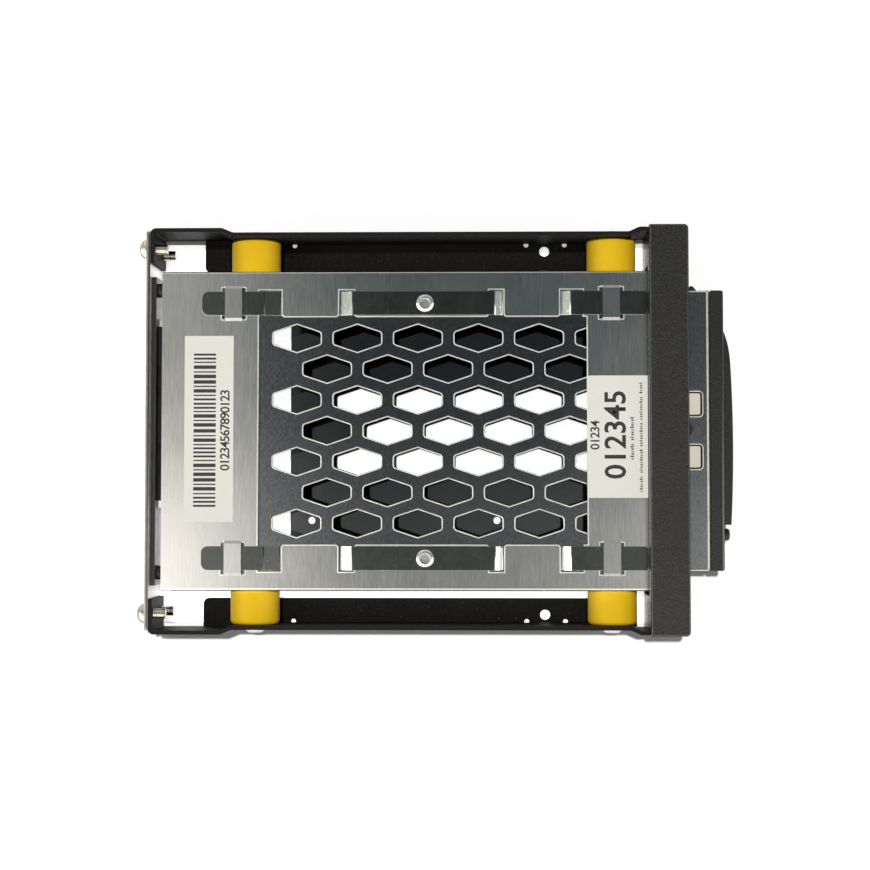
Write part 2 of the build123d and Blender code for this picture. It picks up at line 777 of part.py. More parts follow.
ramp_xs = [(window_rear_x + rear, window_rear_x + front) for rear, front in rear_leaf_ramps]
ramp_xs += [(window_front_x + rear, window_front_x + front) for rear, front in front_leaf_ramps]
leaf_rear_x = cage_rear_x + leaf_rear_margin
leaf_front_x = bezel_x - leaf_front_setback
leaf_path = [
    (leaf_rear_x, leaf_high),
    (ramp_xs[0][0], leaf_high),
    (ramp_xs[0][1], leaf_low),
    (ramp_xs[1][0], leaf_low),
    (ramp_xs[1][1], leaf_high),
    (ramp_xs[2][0], leaf_high),
    (ramp_xs[2][1], leaf_low),
    (ramp_xs[3][0], leaf_low),
    (ramp_xs[3][1], leaf_high),
    (leaf_front_x, leaf_high),
]
for side_name, sign in sides:
    with BuildPart() as leaf:
        with BuildSketch(Plane((0, sign * leaf_y, 0), (1, 0, 0), (0, -1, 0))):
            with BuildLine():
                FilletPolyline(*leaf_path, radius=leaf_bend_radius)
                offset(amount=leaf_thickness, side=Side.LEFT)
            make_face()
        extrude(amount=leaf_width / 2, both=True)
        upright = leaf.edges().filter_by(Axis.Z)
        fillet(upright.group_by(Axis.X)[0], radius=leaf_rear_corner)
        upright = leaf.edges().filter_by(Axis.Z)
        fillet(upright.group_by(Axis.X)[-1], radius=leaf_front_corner)
        with Locations((eyelet_x, sign * leaf_y, leaf_high)):
            Cylinder(eyelet_tube_diameter / 2 + thread_clearance, 4 * leaf_thickness, mode=Mode.SUBTRACT)
    write_piece(leaf.part, f"{side_name}_leaf_spring")

# Hollow rivets with a closed foot that hold the springs to the shell

leaf_top = leaf_high + leaf_thickness
with BuildPart() as spring_eyelets:
    for side_name, sign in sides:
        eyelet_plane = Plane((eyelet_x, sign * leaf_y, 0), (1, 0, 0), (0, -1, 0))
        tube = eyelet_tube_diameter / 2
        hole = eyelet_hole_diameter / 2
        head = eyelet_head_diameter / 2
        foot = eyelet_foot_diameter / 2
        foot_z = shell_under - eyelet_foot_height
        head_z = leaf_top + eyelet_head_height
        with BuildSketch(eyelet_plane):
            with BuildLine():
                Polyline(
                    (hole, head_z),
                    (hole, foot_z + eyelet_end_thickness),
                    (0, foot_z + eyelet_end_thickness),
                    (0, foot_z),
                    (foot, foot_z),
                    (foot, shell_under),
                    (tube, shell_under),
                    (tube, leaf_top),
                    (head, leaf_top),
                )
                ThreePointArc(
                    (head, leaf_top),
                    ((head + hole) / 2 + eyelet_head_height / 3, head_z - eyelet_head_height / 6),
                    (hole, head_z),
                )
            make_face()
        revolve(axis=Axis((eyelet_x, sign * leaf_y, 0), (0, 0, 1)))
write_piece(spring_eyelets.part, "spring_eyelets")

# Guide rails, with captive nut pockets and a groove for the tray's lips

guide_rear_x = cage_rear_x + guide_rear_margin
guide_front_x = bezel_x + guide_front_reach
guide_mid_x = (guide_rear_x + guide_front_x) / 2
guide_length = guide_front_x - guide_rear_x
guide_height = shell_under - guide_top_gap - base_top
for side_name, sign in sides:
    with BuildPart() as guide:
        with Locations((guide_mid_x, sign * (guide_y + guide_thickness / 2), base_top + guide_height / 2)):
            Box(guide_length, guide_thickness, guide_height)
        groove_height = tray_sheet + 2 * guide_groove_clearance
        groove_y = guide_y + guide_groove_depth / 2
        with Locations((guide_mid_x, sign * groove_y, tray_lip_low + tray_sheet / 2)):
            Box(2 * guide_length, guide_groove_depth, groove_height, mode=Mode.SUBTRACT)
        for damper_x in damper_xs:
            pocket = Plane((damper_x, sign * cage_inner_y, cage_mid_z), (1, 0, 0), (0, -sign, 0))
            with BuildSketch(pocket):
                RegularPolygon(nut_width / 2 + guide_groove_clearance, 6, major_radius=False)
            extrude(amount=nut_thickness, mode=Mode.SUBTRACT)
    write_piece(guide.part, f"{side_name}_guide_rail")

# Tray floor: perforated sheet with side flanges, outward lips and a folded front wall

drive_hole_x = connector_front_x + drive_seat_gap + drive_hole_offset + drive_hole_spacing / 2
with BuildPart() as tray_floor:
    with BuildSketch(Plane.XY.offset(floor_under)) as floor_sketch:
        with Locations(((tray_rear_x + tray_shoulder_x) / 2, 0)):
            Rectangle(tray_shoulder_x - tray_rear_x, 2 * tray_y)
        with Locations(((tray_shoulder_x + tray_front_x) / 2 - tray_corner / 2, 0)):
            Rectangle(tray_front_x - tray_shoulder_x + tray_corner, 2 * neck_y)
        with BuildSketch(mode=Mode.PRIVATE) as floor_hexagon:
            with BuildLine():
                Polyline(*hexagon_points(), close=True)
            make_face()
            side_corners = floor_hexagon.vertices().filter_by(lambda v: abs(v.X) > 1)
            fillet(side_corners, radius=hexagon_corner)
        with Locations(*hexagon_centres(floor_rows, hexagon_first_x)):
            add(floor_hexagon.sketch, mode=Mode.SUBTRACT)
        with Locations(*[(bezel_x + tray_window_reach, s * tray_window_y) for s in (-1, 1)]):
            RectangleRounded(tray_window_length, tray_window_width, tray_window_corner, mode=Mode.SUBTRACT)
        with Locations((bezel_x + tray_screw_reach, 0)):
            Circle(tray_screw_diameter / 2 + thread_clearance, mode=Mode.SUBTRACT)
        with Locations((drive_hole_x, 0)):
            with GridLocations(drive_hole_spacing, 2 * drive_hole_y, 2, 2):
                Circle(drive_hole_diameter / 2, mode=Mode.SUBTRACT)
    extrude(amount=tray_sheet)
    flange_length = tray_shoulder_x - tray_rear_x
    for side_name, sign in sides:
        flange_height = floor_under - tray_lip_low
        with Locations(
            (
                (tray_rear_x + tray_shoulder_x) / 2,
                sign * (tray_y - tray_sheet / 2),
                tray_lip_low + flange_height / 2,
            )
        ):
            Box(flange_length, tray_sheet, flange_height)
        with Locations(
            (
                (tray_rear_x + tray_shoulder_x) / 2,
                sign * (tray_y + tray_lip_y) / 2,
                tray_lip_low + tray_sheet / 2,
            )
        ):
            Box(flange_length, tray_lip_y - tray_y, tray_sheet)
    wall_height = floor_under - tray_front_low
    with Locations((tray_front_x - tray_sheet / 2, 0, tray_front_low + wall_height / 2)):
        Box(tray_sheet, 2 * neck_y, wall_height)
    front_edge = tray_floor.edges().filter_by(Axis.Y).group_by(Axis.X)[-1].sort_by(Axis.Z)[-1]
    fillet(front_edge, radius=tray_sheet / 2)
    # Slot for the lever's nose and hole for the button's stem
    slot_inner_y = hinge_y - (hinge_x - tray_front_x + tray_sheet) - nose_width
    slot_width = neck_y - slot_inner_y
    with Locations((tray_front_x, slot_inner_y + slot_width / 2, nose_mid_z)):
        Box(4 * tray_sheet, slot_width + 0.01, nose_slot, mode=Mode.SUBTRACT)
    with Locations(Plane((tray_front_x, button_y, nose_mid_z), (0, 1, 0), (1, 0, 0))):
        Cylinder(button_stem_diameter / 2 + button_clearance, 4 * tray_sheet, mode=Mode.SUBTRACT)
write_piece(tray_floor.part, "tray_floor")

# Latch block that backs the tray's front

latch_front_x = tray_front_x - tray_sheet
latch_mid_x = bezel_x + (latch_rear_reach + tray_front_reach - tray_sheet) / 2
with BuildPart() as latch_block:
    latch_length = latch_front_x - bezel_x - latch_rear_reach
    latch_height = floor_under - latch_low
    with Locations((latch_mid_x, 0, latch_low + latch_height / 2)):
        Box(latch_length, 2 * latch_y, latch_height)
    # Moulded from the drive's side: two pockets leave walls and a centre boss
    pocket_y = latch_pocket_width / 2 + 2 * latch_wall + tray_screw_head_diameter / 2
    with Locations(*[(latch_mid_x, s * pocket_y, latch_low) for s in (-1, 1)]):
        Box(
            latch_length - 2 * latch_wall,
            latch_pocket_width,
            2 * (latch_height - latch_wall),
            mode=Mode.SUBTRACT,
        )
    with Locations((hinge_x, hinge_y, nose_mid_z)):
        Cylinder(nose_reach, nose_slot, mode=Mode.SUBTRACT)
    with Locations(Plane((latch_front_x, button_y, nose_mid_z), (0, 1, 0), (1, 0, 0))):
        Cylinder(
            button_stem_diameter / 2 + button_clearance,
            2 * (button_stem_length + button_travel),
            mode=Mode.SUBTRACT,
        )
    with Locations((bezel_x + tray_screw_reach, 0, floor_under)):
        Cylinder(
            tray_screw_diameter / 2 + thread_clearance,
            2 * (tray_screw_length - tray_sheet + thread_clearance),
            mode=Mode.SUBTRACT,
        )
write_piece(latch_block.part, "latch_block")

with BuildPart() as tray_screw:
    with BuildSketch(Plane.XY.offset(floor_top)):
        with Locations((bezel_x + tray_screw_reach, 0)):
            Circle(tray_screw_head_diameter / 2)
    extrude(amount=tray_screw_head_height)
    fillet(tray_screw.faces().sort_by(Axis.Z)[-1].edges(), radius=tray_screw_head_height / 2)
    with BuildSketch(Plane.XY.offset(floor_top)):
        with Locations((bezel_x + tray_screw_reach, 0)):
            Circle(tray_screw_diameter / 2)
    extrude(amount=-tray_screw_length)
    with Locations((bezel_x + tray_screw_reach, 0, floor_top + tray_screw_head_height)):
        slot_long = tray_screw_head_diameter * recess_diameter_share
        Box(slot_long, slot_long / 4, socket_depth, mode=Mode.SUBTRACT)
        Box(slot_long / 4, slot_long, socket_depth, mode=Mode.SUBTRACT)
write_piece(tray_screw.part, "tray_screw")

# Faceplate of the tray, with the pocket for the lever

pocket_top_y = hinge_y + lever_hub_diameter / 2 + lever_pocket_gap
pocket_end_y = lever_end_y - lever_pocket_gap
pin_low = lever_pocket_low - hinge_pin_embed
pin_high = lever_pocket_high + hinge_pin_embed
collar_room = button_collar_thickness + button_travel + button_clearance
with BuildPart() as tray_faceplate:
    with Locations(((tray_front_x + face_front_x) / 2, 0, (face_low + face_high) / 2)):
        Box(face_depth, 2 * neck_y, face_high - face_low)
    fillet(tray_faceplate.faces().sort_by(Axis.X)[-1].edges(), radius=face_corner)
    # A shallow step all round the back leaves the dark joint line
    with BuildSketch(Plane((tray_front_x, 0, (face_low + face_high) / 2), (0, 1, 0), (1, 0, 0))):
        Rectangle(2 * neck_y, face_high - face_low)
        groove_inner_height = face_high - face_low - 2 * face_groove
        Rectangle(2 * (neck_y - face_groove), groove_inner_height, mode=Mode.SUBTRACT)
    extrude(amount=face_groove, mode=Mode.SUBTRACT)
    pocket_mid_y = (pocket_top_y + pocket_end_y) / 2
    lever_pocket_height = lever_pocket_high - lever_pocket_low
    with Locations(((tray_front_x + face_front_x) / 2, pocket_mid_y, nose_mid_z)):
        Box(2 * face_depth, pocket_top_y - pocket_end_y, lever_pocket_height, mode=Mode.SUBTRACT)
    with Locations((hinge_x, hinge_y, (pin_low + pin_high) / 2)):
        pin_bore_length = pin_high - pin_low + 2 * thread_clearance
        Cylinder(hinge_pin_diameter / 2 + thread_clearance, pin_bore_length, mode=Mode.SUBTRACT)
    with BuildSketch(Plane.XY.offset(nose_mid_z - nose_slot / 2)):
        with BuildLine():
            Polyline(*nose_outline(nose_swing_clearance), close=True)
        make_face()
    extrude(amount=nose_slot, mode=Mode.SUBTRACT)
    with Locations(Plane((tray_front_x, button_y, nose_mid_z), (0, 1, 0), (1, 0, 0))):
        Cylinder(button_diameter / 2 + button_clearance, 4 * face_depth, mode=Mode.SUBTRACT)
        Cylinder(button_collar_diameter / 2 + button_clearance, 2 * collar_room, mode=Mode.SUBTRACT)
write_piece(tray_faceplate.part, "tray_faceplate")

with BuildPart() as hinge_pin:
    with Locations((hinge_x, hinge_y, (pin_low + pin_high) / 2)):
        Cylinder(hinge_pin_diameter / 2, pin_high - pin_low)
write_piece(hinge_pin.part, "hinge_pin")

# Lever: bowed grip, hub and nose in one moulding

lever_low = lever_pocket_low + lever_pocket_gap
lever_high = lever_pocket_high - lever_pocket_gap
lever_back_x = tray_front_x + lever_behind
hub_radius = lever_hub_diameter / 2
crest_y = (lever_full_y + lever_end_y) / 2
end_x = face_front_x + lever_end_bulge
with BuildPart() as lever:
    with BuildSketch(Plane.XY.offset(lever_low)):
        with BuildLine():
            Line((hinge_x, hinge_y + hub_radius), (lever_back_x, hinge_y))
            Line((lever_back_x, hinge_y), (lever_back_x, lever_end_y))
            Line((lever_back_x, lever_end_y), (end_x, lever_end_y))
            ThreePointArc(
                (end_x, lever_end_y),
                (face_front_x + lever_bulge, crest_y),
                (end_x, lever_full_y),
            )
            Spline(
                (end_x, lever_full_y),
                (face_front_x, lever_bulge_start_y),
                tangents=((-0.05, 1), (-0.5, 1)),
            )
            Line((face_front_x, lever_bulge_start_y), (hinge_x + hub_radius, hinge_y))
            Line((hinge_x + hub_radius, hinge_y), (hinge_x, hinge_y + hub_radius))
        make_face()
    extrude(amount=lever_high - lever_low)
    with BuildSketch(Plane.XY.offset(lever_low)):
        with Locations((hinge_x, hinge_y)):
            Circle(hub_radius)
    extrude(amount=lever_high - lever_low)
    # The grip is hollowed from behind, open at the finger end
    grip_depth = face_front_x + lever_end_bulge - lever_back_x - lever_wall
    grip_start_y = lever_full_y
    with Locations(
        (lever_back_x + grip_depth / 2, (lever_end_y + grip_start_y) / 2, (lever_low + lever_high) / 2)
    ):
        grip_height = lever_high - lever_low - 2 * lever_wall
        Box(grip_depth, grip_start_y - lever_end_y, grip_height, mode=Mode.SUBTRACT)
    # Nose that reaches past the tray's side, in front of the bezel
    with BuildSketch(Plane.XY.offset(nose_mid_z - nose_height / 2)):
        with BuildLine():
            Polyline(*nose_outline(0), close=True)
        make_face()
        with Locations((hinge_x + nose_dx, hinge_y + nose_dy)):
            Circle(nose_width / 2)
    extrude(amount=nose_height)
    with Locations((hinge_x, hinge_y, (lever_low + lever_high) / 2)):
        Cylinder(hinge_pin_diameter / 2 + hinge_pin_clearance, lever_high - lever_low, mode=Mode.SUBTRACT)
write_piece(lever.part, "lever")

# Release button with its collar and stem

button_front_x = face_front_x + button_proud
collar_back_x = tray_front_x + button_travel + button_clearance
with BuildPart() as release_button:
    with BuildSketch(Plane((collar_back_x, button_y, nose_mid_z), (0, 1, 0), (1, 0, 0))):
        Circle(button_diameter / 2)
    extrude(amount=button_front_x - collar_back_x)
    fillet(release_button.edges().filter_by(GeomType.CIRCLE).sort_by(Axis.X)[-1], radius=button_round)
    with BuildSketch(Plane((collar_back_x, button_y, nose_mid_z), (0, 1, 0), (1, 0, 0))):
        Circle(button_collar_diameter / 2)
    extrude(amount=button_collar_thickness)
    with BuildSketch(Plane((collar_back_x, button_y, nose_mid_z), (0, 1, 0), (1, 0, 0))):
        Circle(button_stem_diameter / 2)
    extrude(amount=-button_stem_length)
write_piece(release_button.part, "release_button")

# Backplane board with the drive's connector and the rear port

board_height = board_high - board_low
with BuildPart() as backplane_board:
    with BuildSketch(Plane((board_x, 0, (board_low + board_high) / 2), (0, 1, 0), (1, 0, 0))):
        RectangleRounded(2 * board_y, board_height, board_corner)
        with Locations((connector_y, port_mid_z - (board_low + board_high) / 2)):
            Rectangle(
                port_width + 2 * port_clearance,
                port_high - port_low + 2 * port_clearance,
                mode=Mode.SUBTRACT,
            )
        board_screw_rise = board_screw_height - (board_low + board_high) / 2
        with Locations(*[(s * board_screw_y, board_screw_rise) for s in (-1, 1)]):
            Circle(board_screw_diameter / 2 + thread_clearance, mode=Mode.SUBTRACT)
    extrude(amount=board_thickness)
write_piece(backplane_board.part, "backplane_board")

with BuildPart() as board_screws:
    for sign in (1, -1):
        under_head = Plane((board_front_x, sign * board_screw_y, board_screw_height), (0, 1, 0), (1, 0, 0))
        with BuildSketch(under_head):
            Circle(board_screw_head_diameter / 2)
        extrude(amount=board_screw_head_height)
        with BuildSketch(under_head):
            Circle(board_screw_diameter / 2)
        extrude(amount=-(board_thickness + rear_plate_thickness))
        with Locations(under_head.offset(board_screw_head_height)):
            slot_long = board_screw_head_diameter * recess_diameter_share
            Box(slot_long, slot_long / 4, socket_depth, mode=Mode.SUBTRACT)
            Box(slot_long / 4, slot_long, socket_depth, mode=Mode.SUBTRACT)
write_piece(board_screws.part, "board_screws")

connector_mid_z = (connector_low + connector_high) / 2
with BuildPart() as drive_connector:
    with Locations((board_front_x + connector_depth / 2, connector_y, connector_mid_z)):
        Box(connector_depth, connector_width, connector_high - connector_low)
    with Locations((board_front_x + connector_depth, connector_y, connector_mid_z)):
        Box(2 * connector_mouth_depth, connector_mouth_width, connector_mouth_height, mode=Mode.SUBTRACT)
    with Locations(*[(board_front_x, y, connector_high) for y in connector_key_ys]):
        Box(connector_depth, connector_key_width, 2 * connector_key_depth, mode=Mode.SUBTRACT)
write_piece(drive_connector.part, "drive_connector")

with BuildPart() as connector_clips:
    for sign in (1, -1):
        clip_y = connector_y + sign * (connector_width + clip_width) / 2
        with BuildSketch(Plane.XY.offset(connector_mid_z - clip_height / 2)) as clip_sketch:
            with Locations((board_front_x + clip_length / 2, clip_y)):
                Rectangle(clip_length, clip_width)
            front_corners = clip_sketch.vertices().group_by(Axis.X)[-1].sort_by(Axis.Y)
            outer_corner = front_corners[-1 if sign > 0 else 0]
            chamfer(outer_corner, length=clip_width * 0.6)
        extrude(amount=clip_height)
write_piece(connector_clips.part, "connector_clips")

with BuildPart() as rear_port:
    with Locations((rear_x + port_depth / 2, connector_y, port_mid_z)):
        Box(port_depth, port_width, port_high - port_low)
    with Locations((rear_x, connector_y, port_mid_z)):
        port_mouth_height = port_high - port_low - 2 * port_wall
        Box(2 * port_mouth_depth, port_width - 2 * port_wall, port_mouth_height, mode=Mode.SUBTRACT)
    with Locations((rear_x + port_mouth_depth / 2 + port_wall / 2, connector_y, port_mid_z)):
        Box(port_mouth_depth - port_wall, port_width - 6 * port_wall, port_tongue)
write_piece(rear_port.part, "rear_port")

# Labels on the shell

with BuildPart() as rear_label:
    with BuildSketch(Plane.XY.offset(cage_high)):
        with Locations((bridge_xs[0] - rear_label_length / 2, rear_label_y)):
            Rectangle(rear_label_length, rear_label_width)
    extrude(amount=label_thickness)
write_piece(rear_label.part, "rear_label")

with BuildPart() as front_label:
    with BuildSketch(Plane.XY.offset(cage_high)):
        with Locations((bezel_x - front_label_clearance - front_label_length / 2, front_label_y)):
            Rectangle(front_label_length, front_label_width)
    extrude(amount=label_thickness)
write_piece(front_label.part, "front_label")
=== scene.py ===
"""Visual model of a shock-mounted drive cage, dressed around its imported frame."""

from __future__ import annotations

import logging
import math
from dataclasses import dataclass
from enum import Enum
from typing import ClassVar

import bmesh
import bpy
from mathutils import Matrix, Vector

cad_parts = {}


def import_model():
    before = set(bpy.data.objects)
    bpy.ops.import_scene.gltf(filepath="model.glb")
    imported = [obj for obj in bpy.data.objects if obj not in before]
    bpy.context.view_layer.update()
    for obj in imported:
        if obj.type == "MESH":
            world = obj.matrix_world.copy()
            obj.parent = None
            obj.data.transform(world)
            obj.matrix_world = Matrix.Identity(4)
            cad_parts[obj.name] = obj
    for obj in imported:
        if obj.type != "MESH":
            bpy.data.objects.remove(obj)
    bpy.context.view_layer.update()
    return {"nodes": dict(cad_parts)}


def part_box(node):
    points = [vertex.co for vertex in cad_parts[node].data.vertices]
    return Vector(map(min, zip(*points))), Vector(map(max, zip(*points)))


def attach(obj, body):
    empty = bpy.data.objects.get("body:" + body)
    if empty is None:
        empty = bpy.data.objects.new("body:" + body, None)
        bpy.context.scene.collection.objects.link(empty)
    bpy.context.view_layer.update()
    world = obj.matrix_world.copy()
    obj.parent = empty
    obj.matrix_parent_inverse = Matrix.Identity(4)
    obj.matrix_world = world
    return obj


LOG = logging.getLogger("drive_cage")
MM = 0.001
Colour = tuple[float, float, float, float]
Point = tuple[float, float, float]
Pair = tuple[float, float]
Profile = tuple[Pair, ...]


class Body(Enum):
    """The CAD bodies that carry the pieces made here."""

    FRAME = "frame"
    TRAY = "tray"


class Axis(Enum):
    """The way in which a soft box lies from the object."""

    LENGTHWISE = "X"
    SIDEWAYS = "Y"


class Wiring:
    """The nodes of a material or of the room, and the wires between them."""

    NUMBER_INPUTS: ClassVar[tuple[int, int]] = (2, 3)
    COLOUR_INPUTS: ClassVar[tuple[int, int]] = (6, 7)
    COLOUR_OUTPUT: ClassVar[int] = 2

    def __init__(self, owner: bpy.types.Material | bpy.types.World) -> None:
        """Take over the nodes of a material or a world, and clear them.

        Args:
            owner: The material or the world.
        """
        owner.use_nodes = True
        self.tree = owner.node_tree
        self.tree.nodes.clear()

    def node(self, kind: str, **settings: object) -> bpy.types.Node:
        """Add one node.

        Args:
            kind: The node's type name.
            **settings: Properties that are set on the node.

        Returns:
            The new node.
        """
        made = self.tree.nodes.new(kind)
        for key, value in settings.items():
            setattr(made, key, value)
        return made

    def link(self, source: bpy.types.NodeSocket, target: bpy.types.NodeSocket) -> None:
        """Join an output to an input."""
        self.tree.links.new(source, target)

    def fill(self, target: bpy.types.NodeSocket, value: object) -> None:
        """Give an input a link or a plain value.

        Args:
            target: The input socket.
            value: An output socket, a number or a colour.
        """
        if isinstance(value, bpy.types.NodeSocket):
            self.link(value, target)
        else:
            target.default_value = value

    def maths(self, operation: str, first: object, second: object) -> bpy.types.NodeSocket:
        """Combine two factors.

        Args:
            operation: The name of the operation, such as MULTIPLY.
            first: A socket or a number.
            second: A socket or a number.

        Returns:
            The result.
        """
        made = self.node("ShaderNodeMath", operation=operation)
        self.fill(made.inputs[0], first)
        self.fill(made.inputs[1], second)
        return made.outputs[0]

    def blend(self, factor: bpy.types.NodeSocket, first: object, second: object,
              **settings: object) -> bpy.types.NodeSocket:
        """Mix two colours.

        Args:
            factor: How much of the second colour shows.
            first: A socket or a colour.
            second: A socket or a colour.
            **settings: More properties of the node.

        Returns:
            The mixed colour.
        """
        made = self.node("ShaderNodeMix", data_type="RGBA", **settings)
        self.link(factor, made.inputs[0])
        for place, value in zip(self.COLOUR_INPUTS, (first, second)):
            self.fill(made.inputs[place], value)
        return made.outputs[self.COLOUR_OUTPUT]

    def mix(self, factor: bpy.types.NodeSocket, first: object, second: object) -> bpy.types.NodeSocket:
        """Mix two numbers.

        Args:
            factor: How much of the second number counts.
            first: A socket or a number.
            second: A socket or a number.

        Returns:
            The mixed number.
        """
        made = self.node("ShaderNodeMix")
        self.link(factor, made.inputs[0])
        for place, value in zip(self.NUMBER_INPUTS, (first, second)):
            self.fill(made.inputs[place], value)
        return made.outputs[0]


class Graph(Wiring):
    """The wiring of one material, round a principled surface."""

    def __init__(self, name: str) -> None:
        """Start a material that holds a principled surface and its output.

        Args:
            name: The material's name.
        """
        self.material = bpy.data.materials.new(name)
        super().__init__(self.material)
        self.surface = self.node("ShaderNodeBsdfPrincipled")
        output = self.node("ShaderNodeOutputMaterial")
        self.link(self.surface.outputs[0], output.inputs["Surface"])
        self.place = self.node("ShaderNodeTexCoord").outputs["Object"]

    def stretched(self, size: Point) -> bpy.types.NodeSocket:
        """Scale the object's own coordinates.

        Args:
            size: The size of one feature along X, Y and Z, in metres.

        Returns:
            The scaled vector.
        """
        mapping = self.node("ShaderNodeMapping")
        mapping.inputs["Scale"].default_value = tuple(1.0 / s for s in size)
        self.link(self.place, mapping.inputs["Vector"])
        return mapping.outputs["Vector"]

    def noise(self, size: Point, detail: float = 3.0, contrast: float = 0.5) -> bpy.types.NodeSocket:
        """Add noise of a given feature size.

        Args:
            size: The size of one feature along X, Y and Z, in metres.
            detail: How many finer layers are added.
            contrast: How rough the finer layers are.

        Returns:
            A factor from 0 to 1.
        """
        made = self.node("ShaderNodeTexNoise")
        made.inputs["Scale"].default_value = 1.0
        made.inputs["Detail"].default_value = detail
        made.inputs["Roughness"].default_value = contrast
        self.link(self.stretched(size), made.inputs["Vector"])
        return made.outputs["Fac"]

    def remap(self, value: bpy.types.NodeSocket, low: float, high: float, to_low: float = 0.0,
              to_high: float = 1.0) -> bpy.types.NodeSocket:
        """Stretch a range of a factor onto another range, and clamp it.

        Args:
            value: The factor.
            low: The value that becomes to_low.
            high: The value that becomes to_high.
            to_low: The lowest result.
            to_high: The highest result.

        Returns:
            The new factor.
        """
        made = self.node("ShaderNodeMapRange")
        made.inputs["From Min"].default_value = low
        made.inputs["From Max"].default_value = high
        made.inputs["To Min"].default_value = to_low
        made.inputs["To Max"].default_value = to_high
        self.link(value, made.inputs["Value"])
        return made.outputs["Result"]

    def relief(self, height: bpy.types.NodeSocket, depth: float) -> None:
        """Turn a factor into small bumps of the surface.

        Args:
            height: The factor.
            depth: The height of a full step, in metres.
        """
        made = self.node("ShaderNodeBump")
        made.inputs["Distance"].default_value = depth
        self.link(height, made.inputs["Height"])
        self.link(made.outputs["Normal"], self.surface.inputs["Normal"])

    def set(self, **values: object) -> None:
        """Set inputs of the principled surface by name, with underscores for spaces."""
        for key, value in values.items():
            self.fill(self.surface.inputs[key.replace("_", " ")], value)


@dataclass(frozen=True)
class Finish:
    """A surface whose colour, gloss and relief vary at its own scale, with sizes in metres."""

    GRAIN_DETAIL: ClassVar[float] = 4.0
    GRAIN_CONTRAST: ClassVar[float] = 0.6
    SPECK_DETAIL: ClassVar[float] = 2.0
    NOISE_SPAN: ClassVar[Pair] = (0.3, 0.7)
    SPECK_FADE: ClassVar[float] = 0.06
    TOP_FADE: ClassVar[float] = 0.01
    SIDE_TILT: ClassVar[Pair] = (0.8, 0.93)

    name: str
    colour: Colour
    second: Colour
    metallic: float = 0.0
    roughness: float = 0.5
    roughness_spread: float = 0.05
    patch_size: float = 0.012
    grain_size: Point = (0.0004, 0.0004, 0.0004)
    grain_in_colour: float = 0.5
    grain_depth: float = 0.00002
    speck_colour: Colour = (0.2, 0.2, 0.2, 1.0)
    speck_size: float = 0.0005
    speck_floor: float = 0.72
    specular: float = 0.5
    edge_highlight_colour: Colour | None = None
    edge_highlight_tilt: Pair = (0.12, 0.985)
    top_painted_shade: float = 1.0
    top_from: float = 0.8
    side_specular: float | None = None

    def build(self) -> bpy.types.Material:
        """Make the material.

        Returns:
            The finished material.
        """
        graph = Graph(self.name)
        patches = graph.noise((self.patch_size,) * 3)
        grain = graph.noise(self.grain_size, self.GRAIN_DETAIL, self.GRAIN_CONTRAST)
        share = graph.maths("MULTIPLY", graph.remap(grain, *self.NOISE_SPAN), self.grain_in_colour)
        spread = graph.remap(patches, *self.NOISE_SPAN)
        rest = graph.maths("MULTIPLY", spread, 1.0 - self.grain_in_colour)
        mixture = graph.maths("ADD", share, rest)
        colour = graph.blend(mixture, self.colour, self.second)
        specks = graph.noise((self.speck_size,) * 3, self.SPECK_DETAIL)
        shown = graph.remap(specks, self.speck_floor, self.speck_floor + self.SPECK_FADE)
        colour = graph.blend(shown, colour, self.speck_colour)
        tilt = self._tilt(graph)
        # Painted highlight: faces that tilt a little from level, such as the bezel's rounded edges, get a
        # lighter colour; broken marks these faces.
        if self.edge_highlight_colour is not None:
            lowest, highest = self.edge_highlight_tilt
            below = graph.maths("LESS_THAN", tilt, highest)
            broken = graph.maths("MULTIPLY", below, graph.maths("GREATER_THAN", tilt, lowest))
            colour = graph.blend(broken, colour, self.edge_highlight_colour)
        # Painted shade: faces that look up, such as the tops of the springs and the rear plate's edge, are
        # darkened to a share of their colour.
        if self.top_painted_shade < 1.0:
            shade = graph.remap(tilt, self.top_from, self.top_from + self.TOP_FADE, 1.0, self.top_painted_shade)
            mixed = graph.node("ShaderNodeVectorMath", operation="SCALE")
            graph.link(colour, mixed.inputs[0])
            graph.link(shade, mixed.inputs["Scale"])
            colour = mixed.outputs[0]
        specular: object = self.specular
        if self.side_specular is not None:
            specular = graph.remap(tilt, *self.SIDE_TILT, self.side_specular, self.specular)
        low = self.roughness - self.roughness_spread
        high = self.roughness + self.roughness_spread
        graph.set(
            Base_Color=colour,
            Metallic=self.metallic,
            Roughness=graph.remap(mixture, 0.0, 1.0, low, high),
            Specular_IOR_Level=specular,
        )
        graph.relief(grain, self.grain_depth)
        return graph.material

    @staticmethod
    def _tilt(graph: Graph) -> bpy.types.NodeSocket:
        """Find how far each face looks up.

        Args:
            graph: The material's wiring.

        Returns:
            A factor that is 1 on a face that looks straight up and 0 on a wall.
        """
        split = graph.node("ShaderNodeSeparateXYZ")
        graph.link(graph.node("ShaderNodeNewGeometry").outputs["True Normal"], split.inputs[0])
        return split.outputs["Z"]


def grey(value: float, warm: float = 0.0) -> Colour:
    """A grey, or one that leans to yellow or blue.

    Args:
        value: The linear level.
        warm: How far it leans to yellow, or to blue where it is below zero.

    Returns:
        The colour with full alpha.
    """
    return (value * (1 + warm), value, value * (1 - warm), 1.0)


